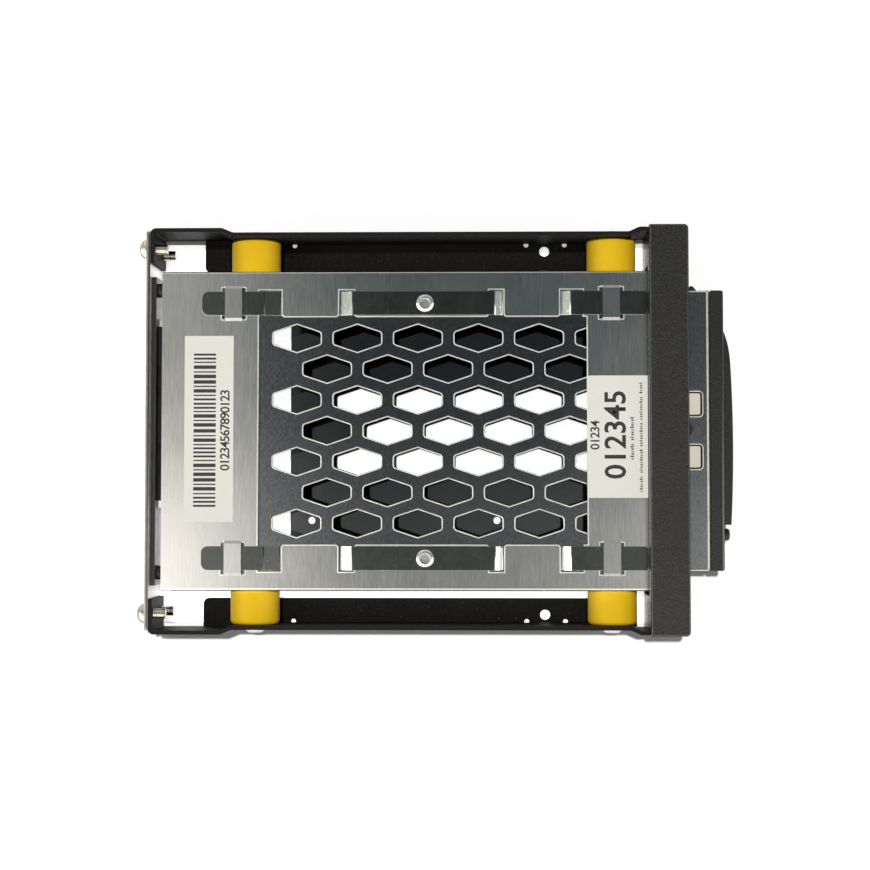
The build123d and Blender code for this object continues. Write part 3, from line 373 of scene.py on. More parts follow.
class Palette:
    """The finishes of the cage, each made once."""

    RUBBER_DEPTH: ClassVar[Point] = (0.0016, 0.0011, 0.0003)
    RUBBER_SHARE: ClassVar[float] = 0.25

    def __init__(self) -> None:
        """Build every finish."""
        finishes = [
            Finish(
                "rail_powder", colour=grey(0.002), second=grey(0.012, 0.05), roughness=0.55,
                roughness_spread=0.08, patch_size=0.02, grain_in_colour=0.9, grain_depth=0.00007,
                speck_colour=grey(0.05, 0.06), speck_floor=0.68, specular=0.12, side_specular=0.05,
            ),
            Finish(
                "bezel_powder", colour=grey(0.001, 0.04), second=grey(0.01, 0.08), roughness=0.26,
                roughness_spread=0.06, patch_size=0.02, grain_in_colour=0.9, grain_depth=0.00006,
                speck_colour=grey(0.05, 0.1), speck_floor=0.7, specular=0.6,
                edge_highlight_colour=grey(0.08, 0.1), edge_highlight_tilt=(0.88, 0.985), side_specular=0.08,
            ),
            Finish(
                "galvanised_sheet", colour=grey(0.6), second=grey(0.7, -0.01), metallic=1.0,
                roughness=0.4, roughness_spread=0.1, patch_size=0.003, grain_size=(0.0005,) * 3,
                grain_in_colour=0.6, grain_depth=0.00001, speck_colour=grey(0.75), speck_size=0.0006,
                speck_floor=0.66, top_painted_shade=0.3,
            ),
            Finish(
                "brushed_sheet", colour=grey(0.49, 0.01), second=grey(0.61, 0.01), metallic=1.0,
                roughness=0.13, roughness_spread=0.02, patch_size=0.008,
                grain_size=(0.0003, 0.005, 0.0003), grain_in_colour=0.7, grain_depth=0.0000006,
                speck_colour=grey(0.68), speck_size=0.0004, speck_floor=0.8,
            ),
            Finish(
                "tray_sheet", colour=grey(0.13, -0.06), second=grey(0.25, -0.06), metallic=1.0,
                roughness=0.12, roughness_spread=0.02, patch_size=0.02,
                grain_size=(0.0003, 0.0008, 0.0003), grain_in_colour=0.85, grain_depth=0.0000006,
                speck_colour=grey(0.36, -0.03), speck_size=0.00035, speck_floor=0.7,
            ),
            Finish(
                "base_sheet", colour=grey(0.12, -0.02), second=grey(0.16, -0.02), metallic=1.0,
                roughness=0.07, roughness_spread=0.02, patch_size=0.01,
                grain_size=(0.003, 0.0004, 0.0004), grain_depth=0.0000004, speck_colour=grey(0.4),
                speck_size=0.0004, speck_floor=0.78,
            ),
            Finish(
                "spring_strip", colour=(0.37, 0.4, 0.385, 1.0), second=(0.43, 0.46, 0.44, 1.0),
                metallic=1.0, roughness=0.18, roughness_spread=0.04, patch_size=0.004,
                grain_size=(0.0004, 0.0012, 0.0004), grain_in_colour=0.6, grain_depth=0.000002,
                speck_colour=grey(0.9), speck_size=0.00045, speck_floor=0.66, top_painted_shade=0.24,
                top_from=0.945,
            ),
            # Partly bare cut metal, partly painted highlight: the rounded punched edges and the tray's front
            # lip are lighter than the tray's own sheet.
            Finish(
                "rolled_edge_highlight", colour=grey(0.55, 0.02), second=grey(0.66, 0.02), metallic=1.0,
                roughness=0.34, roughness_spread=0.06, patch_size=0.003, grain_size=(0.0003,) * 3,
                grain_in_colour=0.4, grain_depth=0.000002, speck_colour=grey(0.7), speck_floor=0.75,
            ),
            # Painted tone: lighter than the base sheet at its punched edges (partly bare cut metal, partly
            # painted highlight), and darker than the plate on the rear plate's lip (painted shade that tones
            # down its highlight).
            Finish(
                "painted_edge_tone", colour=grey(0.2, 0.1), second=grey(0.3, 0.1), metallic=1.0,
                roughness=0.36, roughness_spread=0.06, patch_size=0.003, grain_size=(0.0003,) * 3,
                grain_in_colour=0.4, grain_depth=0.000002, speck_colour=grey(0.3), speck_floor=0.75,
            ),
            Finish(
                "rolled_eyelet", colour=grey(0.5), second=grey(0.6), metallic=1.0, roughness=0.24,
                roughness_spread=0.06, patch_size=0.002, grain_depth=0.000002,
            ),
            Finish(
                "zinc_plate", colour=grey(0.6, 0.03), second=grey(0.75, 0.05), metallic=1.0,
                roughness=0.24, roughness_spread=0.06, patch_size=0.002, grain_size=(0.0003,) * 3,
                grain_in_colour=0.4, grain_depth=0.000002,
            ),
            # Painted highlight and shade: the fine colour bands across the threads run from near black to
            # light cream, besides the bump.
            Finish(
                "thread_steel_painted_light", colour=grey(0.04), second=(0.8, 0.74, 0.62, 1.0), metallic=1.0,
                roughness=0.3, roughness_spread=0.06, patch_size=0.01, grain_size=(0.0002, 0.02, 0.02),
                grain_in_colour=0.95, grain_depth=0.00005, speck_colour=grey(0.7), speck_size=0.0004,
                speck_floor=0.8,
            ),
            Finish(
                "black_oxide", colour=grey(0.02), second=grey(0.04), metallic=0.5, roughness=0.35,
                roughness_spread=0.06, patch_size=0.002, grain_size=(0.0003,) * 3, grain_in_colour=0.4,
                grain_depth=0.000004,
            ),
            Finish(
                "bright_tin", colour=grey(0.85), second=grey(0.92), metallic=0.9, roughness=0.2,
                patch_size=0.002, grain_in_colour=0.4, grain_depth=0.000002,
            ),
            Finish(
                "black_moulding", colour=grey(0.007), second=grey(0.01), roughness=0.4,
                roughness_spread=0.06, patch_size=0.01, grain_depth=0.00001, speck_colour=grey(0.03),
                speck_size=0.0006, speck_floor=0.75, specular=0.3,
            ),
            Finish(
                "face_moulding", colour=grey(0.003), second=grey(0.007, 0.03), roughness=0.26,
                patch_size=0.01, grain_size=(0.0005,) * 3, grain_in_colour=0.6, grain_depth=0.00003,
                speck_colour=grey(0.03), speck_size=0.0006, specular=0.6,
            ),
            Finish(
                "cream_moulding", colour=(0.62, 0.58, 0.46, 1.0), second=(0.7, 0.66, 0.54, 1.0),
                roughness=0.45, patch_size=0.01, grain_size=(0.0005,) * 3, grain_in_colour=0.3,
                grain_depth=0.000006, speck_colour=(0.75, 0.72, 0.6, 1.0),
            ),
            Finish(
                "board_mask", colour=grey(0.008), second=grey(0.014, -0.1), roughness=0.3,
                patch_size=0.004, grain_in_colour=0.4, grain_depth=0.000004,
            ),
            Finish(
                "label_film", colour=(0.72, 0.71, 0.64, 1.0), second=(0.76, 0.75, 0.68, 1.0),
                patch_size=0.01, grain_size=(0.0005,) * 3, grain_in_colour=0.3, grain_depth=0.000003,
                speck_colour=(0.8, 0.79, 0.72, 1.0),
            ),
            Finish(
                "label_ink", colour=grey(0.008), second=grey(0.012), patch_size=0.004,
                grain_in_colour=0.4, grain_depth=0.000002,
            ),
            Finish(
                "yellow_rubber", colour=(0.74, 0.46, 0.01, 1.0), second=(0.8, 0.51, 0.016, 1.0),
                patch_size=0.006, grain_size=(0.0007,) * 3, grain_in_colour=0.3, grain_depth=0.000008,
                speck_colour=(0.84, 0.58, 0.03, 1.0), speck_size=0.0006, speck_floor=0.78,
                specular=0.3,
            ),
        ]
        self.made = {finish.name: finish.build() for finish in finishes}
        self._soften_rubber(self.made["yellow_rubber"])

    def __getitem__(self, name: str) -> bpy.types.Material:
        """The material of that name."""
        return self.made[name]

    def _soften_rubber(self, material: bpy.types.Material) -> None:
        """Let a little light into the rubber.

        Args:
            material: The rubber's material.
        """
        surface = next(n for n in material.node_tree.nodes if n.type == "BSDF_PRINCIPLED")
        surface.inputs["Subsurface Weight"].default_value = self.RUBBER_SHARE
        surface.inputs["Subsurface Radius"].default_value = self.RUBBER_DEPTH
        surface.inputs["Subsurface Scale"].default_value = 1.0


class Dresser:
    """Gives the frame's own nodes their finish and their worn edges."""

    WELD_METRES: ClassVar[float] = 1e-6
    FLAT_DEGREES: ClassVar[float] = 0.2
    SHARP_DEGREES: ClassVar[float] = 40.0
    EDGE_STEPS: ClassVar[int] = 2

    def __init__(self, nodes: dict[str, bpy.types.Object], palette: Palette) -> None:
        """Keep the nodes and the finishes.

        Args:
            nodes: The loaded nodes by name.
            palette: The finishes.
        """
        self.nodes = nodes
        self.palette = palette

    def dress(self, name: str, finish: str, edge: float = 0.0) -> None:
        """Give one node its finish, and break its sharp edges.

        Args:
            name: The node's name.
            finish: The name of its finish.
            edge: The width of the broken edge in millimetres, or 0 for none.
        """
        node = self.nodes[name]
        for slot in node.material_slots:
            slot.link = "OBJECT"
            slot.material = self.palette[finish]
        if edge > 0:
            weld = node.modifiers.new("weld", "WELD")
            weld.merge_threshold = self.WELD_METRES
            flat = node.modifiers.new("flat", "DECIMATE")
            flat.decimate_type = "DISSOLVE"
            flat.angle_limit = math.radians(self.FLAT_DEGREES)
            bevel = node.modifiers.new("edge", "BEVEL")
            bevel.width = edge * MM
            bevel.segments = self.EDGE_STEPS
            bevel.limit_method = "ANGLE"
            bevel.angle_limit = math.radians(self.SHARP_DEGREES)
            bevel.use_clamp_overlap = True
            bevel.harden_normals = True
        LOG.info("%s is finished in %s", name, finish)


def placed(name: str, shape: bmesh.types.BMesh, material: bpy.types.Material) -> bpy.types.Object:
    """Write a finished shape into the scene.

    Args:
        name: The new object's name.
        shape: Its faces, in the row frame. They are freed here.
        material: Its finish.

    Returns:
        The new object.
    """
    mesh = bpy.data.meshes.new(name)
    shape.to_mesh(mesh)
    shape.free()
    mesh.materials.append(material)
    made = bpy.data.objects.new(name, mesh)
    bpy.context.scene.collection.objects.link(made)
    return made


def new_piece(name: str, shape: bmesh.types.BMesh, material: bpy.types.Material, carrier: Body) -> None:
    """Add a finished shape to the object, on the body that carries it.

    Args:
        name: The piece's name.
        shape: Its faces, in the row frame.
        material: Its finish.
        carrier: The CAD body that carries it.
    """
    piece = placed(name, shape, material)
    body = carrier.value
    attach(piece, body)
    LOG.info("%s rides on %s", name, body)


def edge_across(x: float, reach: float, height: float) -> tuple[Vector, Vector]:
    """The two ends of a straight edge that runs from one side of the object to the other."""
    return Vector((x, -reach, height)), Vector((x, reach, height))


@dataclass
class PunchedEdge:
    """The rounded edge that a punch leaves round the openings of a sheet's upper face.

    The width and the profile are in millimetres. It leaves out what lies behind begins, in metres.
    """

    KEYS_PER_METRE: ClassVar[float] = 2e5
    END_MARGIN: ClassVar[int] = 4
    FLAT_TILT: ClassVar[float] = 0.999
    WALL_TILT: ClassVar[float] = 0.35
    SHARPEST: ClassVar[float] = 0.5

    width: float = 0.34
    profile: Profile = ((-0.01, -0.25), (-0.01, -0.04), (0.09, 0.02), (0.22, 0.028))
    ending: str = "edges"
    begins: float = -1.0

    def build(self, node: bpy.types.Object, material: bpy.types.Material, carrier: Body, slot: str) -> None:
        """Lay the edge round every opening in the sheet's largest upper face.

        Args:
            node: The sheet, which is only read.
            material: The finish of the edge.
            carrier: The CAD body that carries the sheet.
            slot: The record's slot for the finish, which is not used.
        """
        edges, points, level = self._open_edges(node.data)
        edges = [edge for edge in edges if min(points[key].x for key in edge) > self.begins]
        shifts = self._mitres(edges, points)
        lines = self.profile + ((self.width, 0.0),)
        shape = bmesh.new()
        rows = {}
        for key, shift in shifts.items():
            x, y = points[key].x, points[key].y
            places = [(x + shift.x * out * MM, y + shift.y * out * MM, level + up * MM) for out, up in lines]
            rows[key] = [shape.verts.new(place) for place in places]
        for start, end in edges:
            for i in range(len(lines) - 1):
                corners = (rows[start][i], rows[end][i], rows[end][i + 1], rows[start][i + 1])
                shape.faces.new(corners).smooth = True
        bmesh.ops.recalc_face_normals(shape, faces=shape.faces)
        new_piece(f"{node.name}_{self.ending}", shape, material, carrier)

    def _open_edges(self, mesh: bpy.types.Mesh) -> tuple[list, dict, float]:
        """Find where the largest upper face falls away steeply.

        Args:
            mesh: The sheet's mesh.

        Returns:
            The edges with the sheet on their left, the corner points by key, and the face's height.
        """
        keys = [tuple(round(c * self.KEYS_PER_METRE) for c in vertex.co) for vertex in mesh.vertices]
        points = {key: vertex.co.copy() for key, vertex in zip(keys, mesh.vertices)}
        areas: dict[int, float] = {}
        for face in mesh.polygons:
            if face.normal.z > self.FLAT_TILT:
                height = keys[face.vertices[0]][2]
                areas[height] = areas.get(height, 0.0) + face.area
        height = max(areas, key=areas.get)
        upper, beside = set(), {}
        for face in mesh.polygons:
            ring = [keys[i] for i in face.vertices]
            flat = face.normal.z > self.FLAT_TILT and all(abs(key[2] - height) <= 1 for key in ring)
            for pair in zip(ring, ring[1:] + ring[:1]):
                if flat:
                    upper.add(pair)
                else:
                    beside[pair[::-1]] = face.normal.z
        ends = [pick(key[0] for key in keys) for pick in (min, max)]
        edges = []
        for pair in upper:
            steep = abs(beside.get(pair, 1.0)) < self.WALL_TILT
            outer = any(all(abs(key[0] - end) < self.END_MARGIN for key in pair) for end in ends)
            if steep and not outer and pair[::-1] not in upper:
                edges.append(pair)
        return sorted(edges), points, height / self.KEYS_PER_METRE

    def _mitres(self, edges: list, points: dict) -> dict:
        """How far each corner moves sideways for one unit of width.

        Args:
            edges: The edges, as pairs of keys.
            points: The corner points by key.

        Returns:
            The sideways shifts by key.
        """
        normals: dict = {}
        for start, end in edges:
            along = (points[end] - points[start]).normalized()
            for key in (start, end):
                normals.setdefault(key, []).append(Vector((-along.y, along.x, 0.0)))
        shifts = {}
        for key, sides in normals.items():
            total = sum(sides, Vector((0.0, 0.0, 0.0)))
            mitre = total * (2.0 / max(total.length_squared, self.SHARPEST))
            shifts[key] = mitre if len(sides) == 2 else sides[0]
        return shifts


@dataclass
class RolledLip:
    """A rounded lip along one straight edge of a sheet, drawn in millimetres."""

    STEPS: ClassVar[int] = 6

    profile: Profile

    @classmethod
    def quarter(cls, radius: float) -> RolledLip:
        """Make a lip that rolls down a quarter turn.

        Args:
            radius: The radius of the roll in millimetres.

        Returns:
            The lip.
        """
        turns = [math.pi / 2 * i / cls.STEPS for i in range(cls.STEPS + 1)]
        return cls(tuple((radius * math.sin(turn), radius * (math.cos(turn) - 1.0)) for turn in turns))

    def build(self, name: str, ends: tuple[Vector, Vector], material: bpy.types.Material, carrier: Body,
              slot: str) -> None:
        """Sweep the profile from one end of the sheet's edge to the other.

        Args:
            name: The piece's name.
            ends: The two ends of the edge, on the sheet's upper face.
            material: The finish of the lip.
            carrier: The CAD body that carries the sheet.
            slot: The record's slot for the finish, which is not used.
        """
        shape = bmesh.new()
        shifts = [Vector((forward, 0.0, up)) * MM for forward, up in self.profile]
        rows = [[shape.verts.new(corner + shift) for corner in ends] for shift in shifts]
        for (first, second), (third, fourth) in zip(rows, rows[1:]):
            shape.faces.new((first, third, fourth, second)).smooth = True
        bmesh.ops.recalc_face_normals(shape, faces=shape.faces)
        new_piece(name, shape, material, carrier)


@dataclass(frozen=True)
class NumberRow:
    """A row of plain numbers, in millimetres from the label's rear edge and its middle."""

    words: str
    across: float
    along: float
    height: float
    spread: float


@dataclass(frozen=True)
class Rule:
    """A broken rule that stands for a line of small print, in millimetres like a row of numbers."""

    across: float
    begins: float
    ends: float
    width: float


@dataclass
class LabelPrint:
    """Plain bars, rules and numbers on the two labels, in millimetres."""

    CAP_SHARE: ClassVar[float] = 0.7
    CURVE_STEPS: ClassVar[int] = 3
    LOW_STROKE: ClassVar[float] = 0.28
    HIGH_STROKE: ClassVar[float] = 0.5
    WIDE_DASH: ClassVar[float] = 0.55
    NARROW_DASH: ClassVar[float] = 0.4
    TALL_TURN: ClassVar[int] = 4
    SHORT_TURN: ClassVar[int] = 3
    WORD: ClassVar[int] = 11
    WORD_GAP: ClassVar[int] = 7

    lift: float = 0.012
    bar_count: int = 35
    bar_widths: tuple[float, ...] = (0.42, 0.28, 0.74, 0.42)
    bar_gaps: tuple[float, ...] = (0.42, 0.5, 0.62)
    bar_low: float = -19.1
    bar_high: float = 19.3
    bar_left: float = 2.3
    bar_right: float = 7.9
    boldness: float = 0.022
    rear_numbers: NumberRow = NumberRow("01234567890123", 11.3, -10.1, 2.3, 0.88)
    front_numbers: tuple[NumberRow, ...] = (
        NumberRow("01234", 2.9, -3.3, 2.2, 0.92),
        NumberRow("012345", 9.4, -10.6, 5.2, 1.0),
    )
    rules: tuple[Rule, ...] = (Rule(11.2, -5.7, 5.7, 1.15), Rule(13.4, -13.8, 14.2, 0.95))
    rule_step: float = 0.6

    def build(self, palette: Palette) -> None:
        """Print both labels.

        Args:
            palette: The finishes.
        """
        ink = palette["label_ink"]
        low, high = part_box("rear_label")
        shape = bmesh.new()
        z = high.z + self.lift * MM
        self._bars(shape, low.x, z)
        self._numbers(shape, self.rear_numbers, Vector((low.x, 0.0, z)))
        new_piece("rear_label_print", shape, ink, Body.FRAME)
        low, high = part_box("front_label")
        shape = bmesh.new()
        corner = Vector((low.x, (low.y + high.y) / 2, high.z + self.lift * MM))
        for row in self.front_numbers:
            self._numbers(shape, row, corner)
        for rule in self.rules:
            self._rule(shape, rule, corner)
        new_piece("front_label_print", shape, ink, Body.FRAME)

    def _bars(self, shape: bmesh.types.BMesh, x: float, z: float) -> None:
        """Add a row of plain bars, whose widths and gaps follow a fixed shuffle.

        Args:
            shape: Collects the faces.
            x: The label's rear edge.
            z: The height of the print.
        """
        turns = range(self.bar_count)
        widths = [self.bar_widths[(3 * i * i + 5 * i) % 11 % len(self.bar_widths)] for i in turns]
        gaps = [self.bar_gaps[(i * i + 2 * i) % 7 % len(self.bar_gaps)] for i in turns]
        scale = (self.bar_high - self.bar_low) / (sum(widths) + sum(gaps[:-1]))
        left, right = x + self.bar_left * MM, x + self.bar_right * MM
        y = self.bar_low
        for width, gap in zip(widths, gaps):
            top = y + width * scale
            self._plate(shape, (left, right), (y * MM, top * MM), z)
            y = top + gap * scale

    def _rule(self, shape: bmesh.types.BMesh, rule: Rule, corner: Vector) -> None:
        """Add a broken rule, with a gap after each run of dashes.

        Args:
            shape: Collects the faces.
            rule: Its place and width.
            corner: The middle of the label's rear edge, at the height of the print.
        """
        x = corner.x + rule.across * MM
        low = corner.y + rule.begins * MM
        high = corner.y + rule.ends * MM
        step = self.rule_step * MM
        width = rule.width * MM
        for i in range(int((high - low) / step)):
            if i % self.WORD == self.WORD_GAP:
                continue
            y = low + i * step
            rise = width * (self.HIGH_STROKE if i % self.TALL_TURN == 1 else self.LOW_STROKE)
            dash = step * (self.WIDE_DASH if i % self.SHORT_TURN else self.NARROW_DASH)
            self._plate(shape, (x - rise, x + width * self.LOW_STROKE), (y, y + dash), corner.z)

    @staticmethod
    def _plate(shape: bmesh.types.BMesh, x: Pair, y: Pair, z: float) -> None:
        """Add one flat rectangle that faces up."""
        places = ((x[0], y[0], z), (x[1], y[0], z), (x[1], y[1], z), (x[0], y[1], z))
        shape.faces.new([shape.verts.new(place) for place in places])

    def _numbers(self, shape: bmesh.types.BMesh, row: NumberRow, corner: Vector) -> None:
        """Add plain numbers that read from the foot of the picture to its head.

        Args:
            shape: Collects the faces.
            row: The numbers and their place.
            corner: The middle of the label's rear edge, at the height of the print.
        """
        curve = bpy.data.curves.new("numbers", "FONT")
        curve.body = row.words
        curve.size = row.height * MM / self.CAP_SHARE
        curve.space_character = row.spread
        curve.resolution_u = self.CURVE_STEPS
        curve.offset = self.boldness * row.height * MM
        writer = bpy.data.objects.new("numbers", curve)
        bpy.context.scene.collection.objects.link(writer)
        graph = bpy.context.evaluated_depsgraph_get()
        flat = bpy.data.meshes.new_from_object(writer.evaluated_get(graph))
        place = (corner.x + row.across * MM, corner.y + row.along * MM, corner.z)
        flat.transform(Matrix.Translation(place) @ Matrix.Rotation(math.pi / 2, 4, "Z"))
        shape.from_mesh(flat)
        bpy.data.objects.remove(writer)
        bpy.data.curves.remove(curve)
        bpy.data.meshes.remove(flat)


@dataclass
class Frame:
    """The folded rails, the rear plate, the bezel and what holds them together, in millimetres."""

    sheet_edge: float = 0.16
    screw_edge: float = 0.08
    socket_edge: float = 0.05
    lip_inset: float = 0.5
    plate_lip: Profile = ((0.01, -0.12), (0.05, 0.0), (0.2, 0.03), (0.4, 0.03), (0.52, 0.005))
    plate_dark_band: Profile = ((0.58, 0.006), (0.95, 0.006), (1.02, -0.05))

    def build(self, dresser: Dresser) -> None:
        """Dress the frame's nodes, and lay the rounded edge on its rear plate.

        Args:
            dresser: Gives each node its finish.
        """
        for side in ("left", "right"):
            dresser.dress(f"{side}_rail", "rail_powder", self.sheet_edge)
            for end in ("rear", "front"):
                dresser.dress(f"{side}_{end}_damper", "yellow_rubber")
        dresser.dress("front_bezel", "bezel_powder")
        dresser.dress("rear_plate", "galvanised_sheet", self.sheet_edge)
        self._round_plate(dresser)
        dresser.dress("rear_screws", "thread_steel_painted_light", self.screw_edge)
        dresser.dress("bezel_screws", "black_oxide", self.socket_edge)
        dresser.dress("damper_screws", "zinc_plate", self.screw_edge)
        dresser.dress("damper_studs", "zinc_plate")
        dresser.dress("damper_nuts", "zinc_plate", self.screw_edge)

    def _round_plate(self, dresser: Dresser) -> None:
        """Lay a rounded rear edge and a dark front edge on the rear plate.

        Args:
            dresser: Holds the nodes and the finishes.
        """
        corners = [vertex.co for vertex in dresser.nodes["rear_plate"].data.vertices]
        height = max(corner.z for corner in corners)
        top = [corner for corner in corners if corner.z > height - self.sheet_edge * MM]
        reach = max(corner.y for corner in top) - self.lip_inset * MM
        ends = edge_across(min(corner.x for corner in top), reach, height)
        # The second strip is a dark band on the inner half of the plate's top edge.
        for name, profile, finish in (
            ("rear_plate_lip", self.plate_lip, "painted_edge_tone"),
            ("rear_plate_dark_band", self.plate_dark_band, "base_sheet"),
        ):
            RolledLip(profile).build(name, ends, dresser.palette[finish], Body.FRAME, "galvanised")


@dataclass
class Cage:
    """The floating cage with its woven springs, guides, backplane and labels, in millimetres."""

    top: float = 18.2
    lip_radius: float = 1.0
    lip_inset: float = 1.6
    lip_overlap: float = 0.02
    base_rim: float = 0.2
    spring_edge: float = 0.08
    guide_edge: float = 0.1
    board_edge: float = 0.05
    connector_edge: float = 0.12
    clip_edge: float = 0.2

    def build(self, dresser: Dresser) -> None:
        """Dress the cage's nodes, and round the openings and the front of its sheets.

        Args:
            dresser: Gives each node its finish.
        """
        dresser.dress("cage_shell", "brushed_sheet")
        dresser.dress("cage_base", "base_sheet")
        shell, base, palette = dresser.nodes["cage_shell"], dresser.nodes["cage_base"], dresser.palette
        PunchedEdge().build(shell, palette["rolled_edge_highlight"], Body.FRAME, "brushed_cage")
        low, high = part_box("cage_shell")
        reach = (high.y - low.y) / 2 - self.lip_inset * MM
        ends = edge_across(high.x - self.lip_overlap * MM, reach, self.top * MM)
        lip = RolledLip.quarter(self.lip_radius)
        lip.build("cage_shell_lip", ends, palette["brushed_sheet"], Body.FRAME, "brushed_cage")
        PunchedEdge(self.base_rim).build(base, palette["painted_edge_tone"], Body.FRAME, "dark_steel")
        for side in ("left", "right"):
            dresser.dress(f"{side}_leaf_spring", "spring_strip", self.spring_edge)
            dresser.dress(f"{side}_guide_rail", "black_moulding", self.guide_edge)
        dresser.dress("spring_eyelets", "rolled_eyelet")
        dresser.dress("backplane_board", "board_mask", self.board_edge)
        dresser.dress("board_screws", "black_oxide", self.board_edge)
        dresser.dress("drive_connector", "black_moulding", self.connector_edge)
        dresser.dress("connector_clips", "bright_tin", self.clip_edge)
        dresser.dress("rear_port", "black_moulding", self.connector_edge)
        dresser.dress("rear_label", "label_film")
        dresser.dress("front_label", "label_film")


@dataclass
class Tray:
    """The sliding tray with its front, lever and button, in millimetres."""

    neck_depth: float = 1.2
    shadow_gap_width: float = 0.34
    shadow_gap_lift: float = 0.02
    shadow_wall_gap: Pair = (-0.02, -0.01)
    lip_inset: float = 0.3
    lip: Profile = ((-0.65, -0.01), (-0.52, 0.03), (-0.3, 0.045), (-0.1, 0.02), (-0.01, -0.1))
    block_edge: float = 0.2
    face_edge: float = 0.15
    fine_edge: float = 0.05

    def build(self, dresser: Dresser) -> None:
        """Dress the tray's nodes, and round its openings and its front edge.

        Args:
            dresser: Gives each node its finish.
        """
        dresser.dress("tray_floor", "tray_sheet")
        self._round_floor(dresser)
        dresser.dress("latch_block", "cream_moulding", self.block_edge)
        dresser.dress("tray_screw", "black_oxide", self.fine_edge)
        dresser.dress("tray_faceplate", "face_moulding", self.face_edge)
        dresser.dress("hinge_pin", "zinc_plate")
        dresser.dress("lever", "face_moulding", self.face_edge)
        dresser.dress("release_button", "black_moulding", self.fine_edge)

    def _round_floor(self, dresser: Dresser) -> None:
        """Round the floor's openings and its front edge, and paint shadow into the gaps beside the latch
        block.

        Args:
            dresser: Holds the nodes and the finishes.
        """
        floor, palette = dresser.nodes["tray_floor"], dresser.palette
        PunchedEdge().build(floor, palette["rolled_edge_highlight"], Body.TRAY, "tray_steel")
        corners = [vertex.co for vertex in floor.data.vertices]
        front = max(corner.x for corner in corners)
        nose = [corner for corner in corners if corner.x > front - self.neck_depth * MM]
        height = max(corner.z for corner in nose)
        # Partly painted highlight: a light metal strip lies along the front fold, where the bend catches
        # light.
        ends = edge_across(front, max(corner.y for corner in nose) - self.lip_inset * MM, height)
        RolledLip(self.lip).build("tray_front_lip_highlight", ends, palette["rolled_edge_highlight"], Body.TRAY, "tray_steel")
        # Painted shadow: black strips lie on the latch block inside the neck's openings and stand for the
        # shade in the gaps beside it.
        depth = (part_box("latch_block")[1].z - height) / MM + self.shadow_gap_lift
        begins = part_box("front_bezel")[1].x - self.neck_depth * MM
        foot, wall = self.shadow_wall_gap
        gaps = PunchedEdge(wall, ((-self.shadow_gap_width, depth), (foot, depth)), ending="gaps", begins=begins)
        gaps.build(floor, palette["black_moulding"], Body.TRAY, "black_plastic")


@dataclass(frozen=True)
class SoftBox:
    """One side of the room that gloss shows as lit.

    It begins where a direction's share along the axis reaches starts, and is whole from full on.
    """

    name: str
    axis: Axis
    starts: float
    full: float
    level: float
    near_boost: float = 0.0

    def share(self, room: Wiring, direction: bpy.types.Node) -> bpy.types.NodeSocket:
        """Find how much of the box shows in each direction.

        Args:
            room: The room's wiring.
            direction: The node that splits a direction into X, Y and Z.

        Returns:
            A factor from 0 to 1.
        """
        step = room.node("ShaderNodeMapRange", interpolation_type="SMOOTHSTEP")
        step.inputs["From Min"].default_value = self.starts
        step.inputs["From Max"].default_value = self.full
        room.link(direction.outputs[self.axis.value], step.inputs["Value"])
        return step.outputs["Result"]


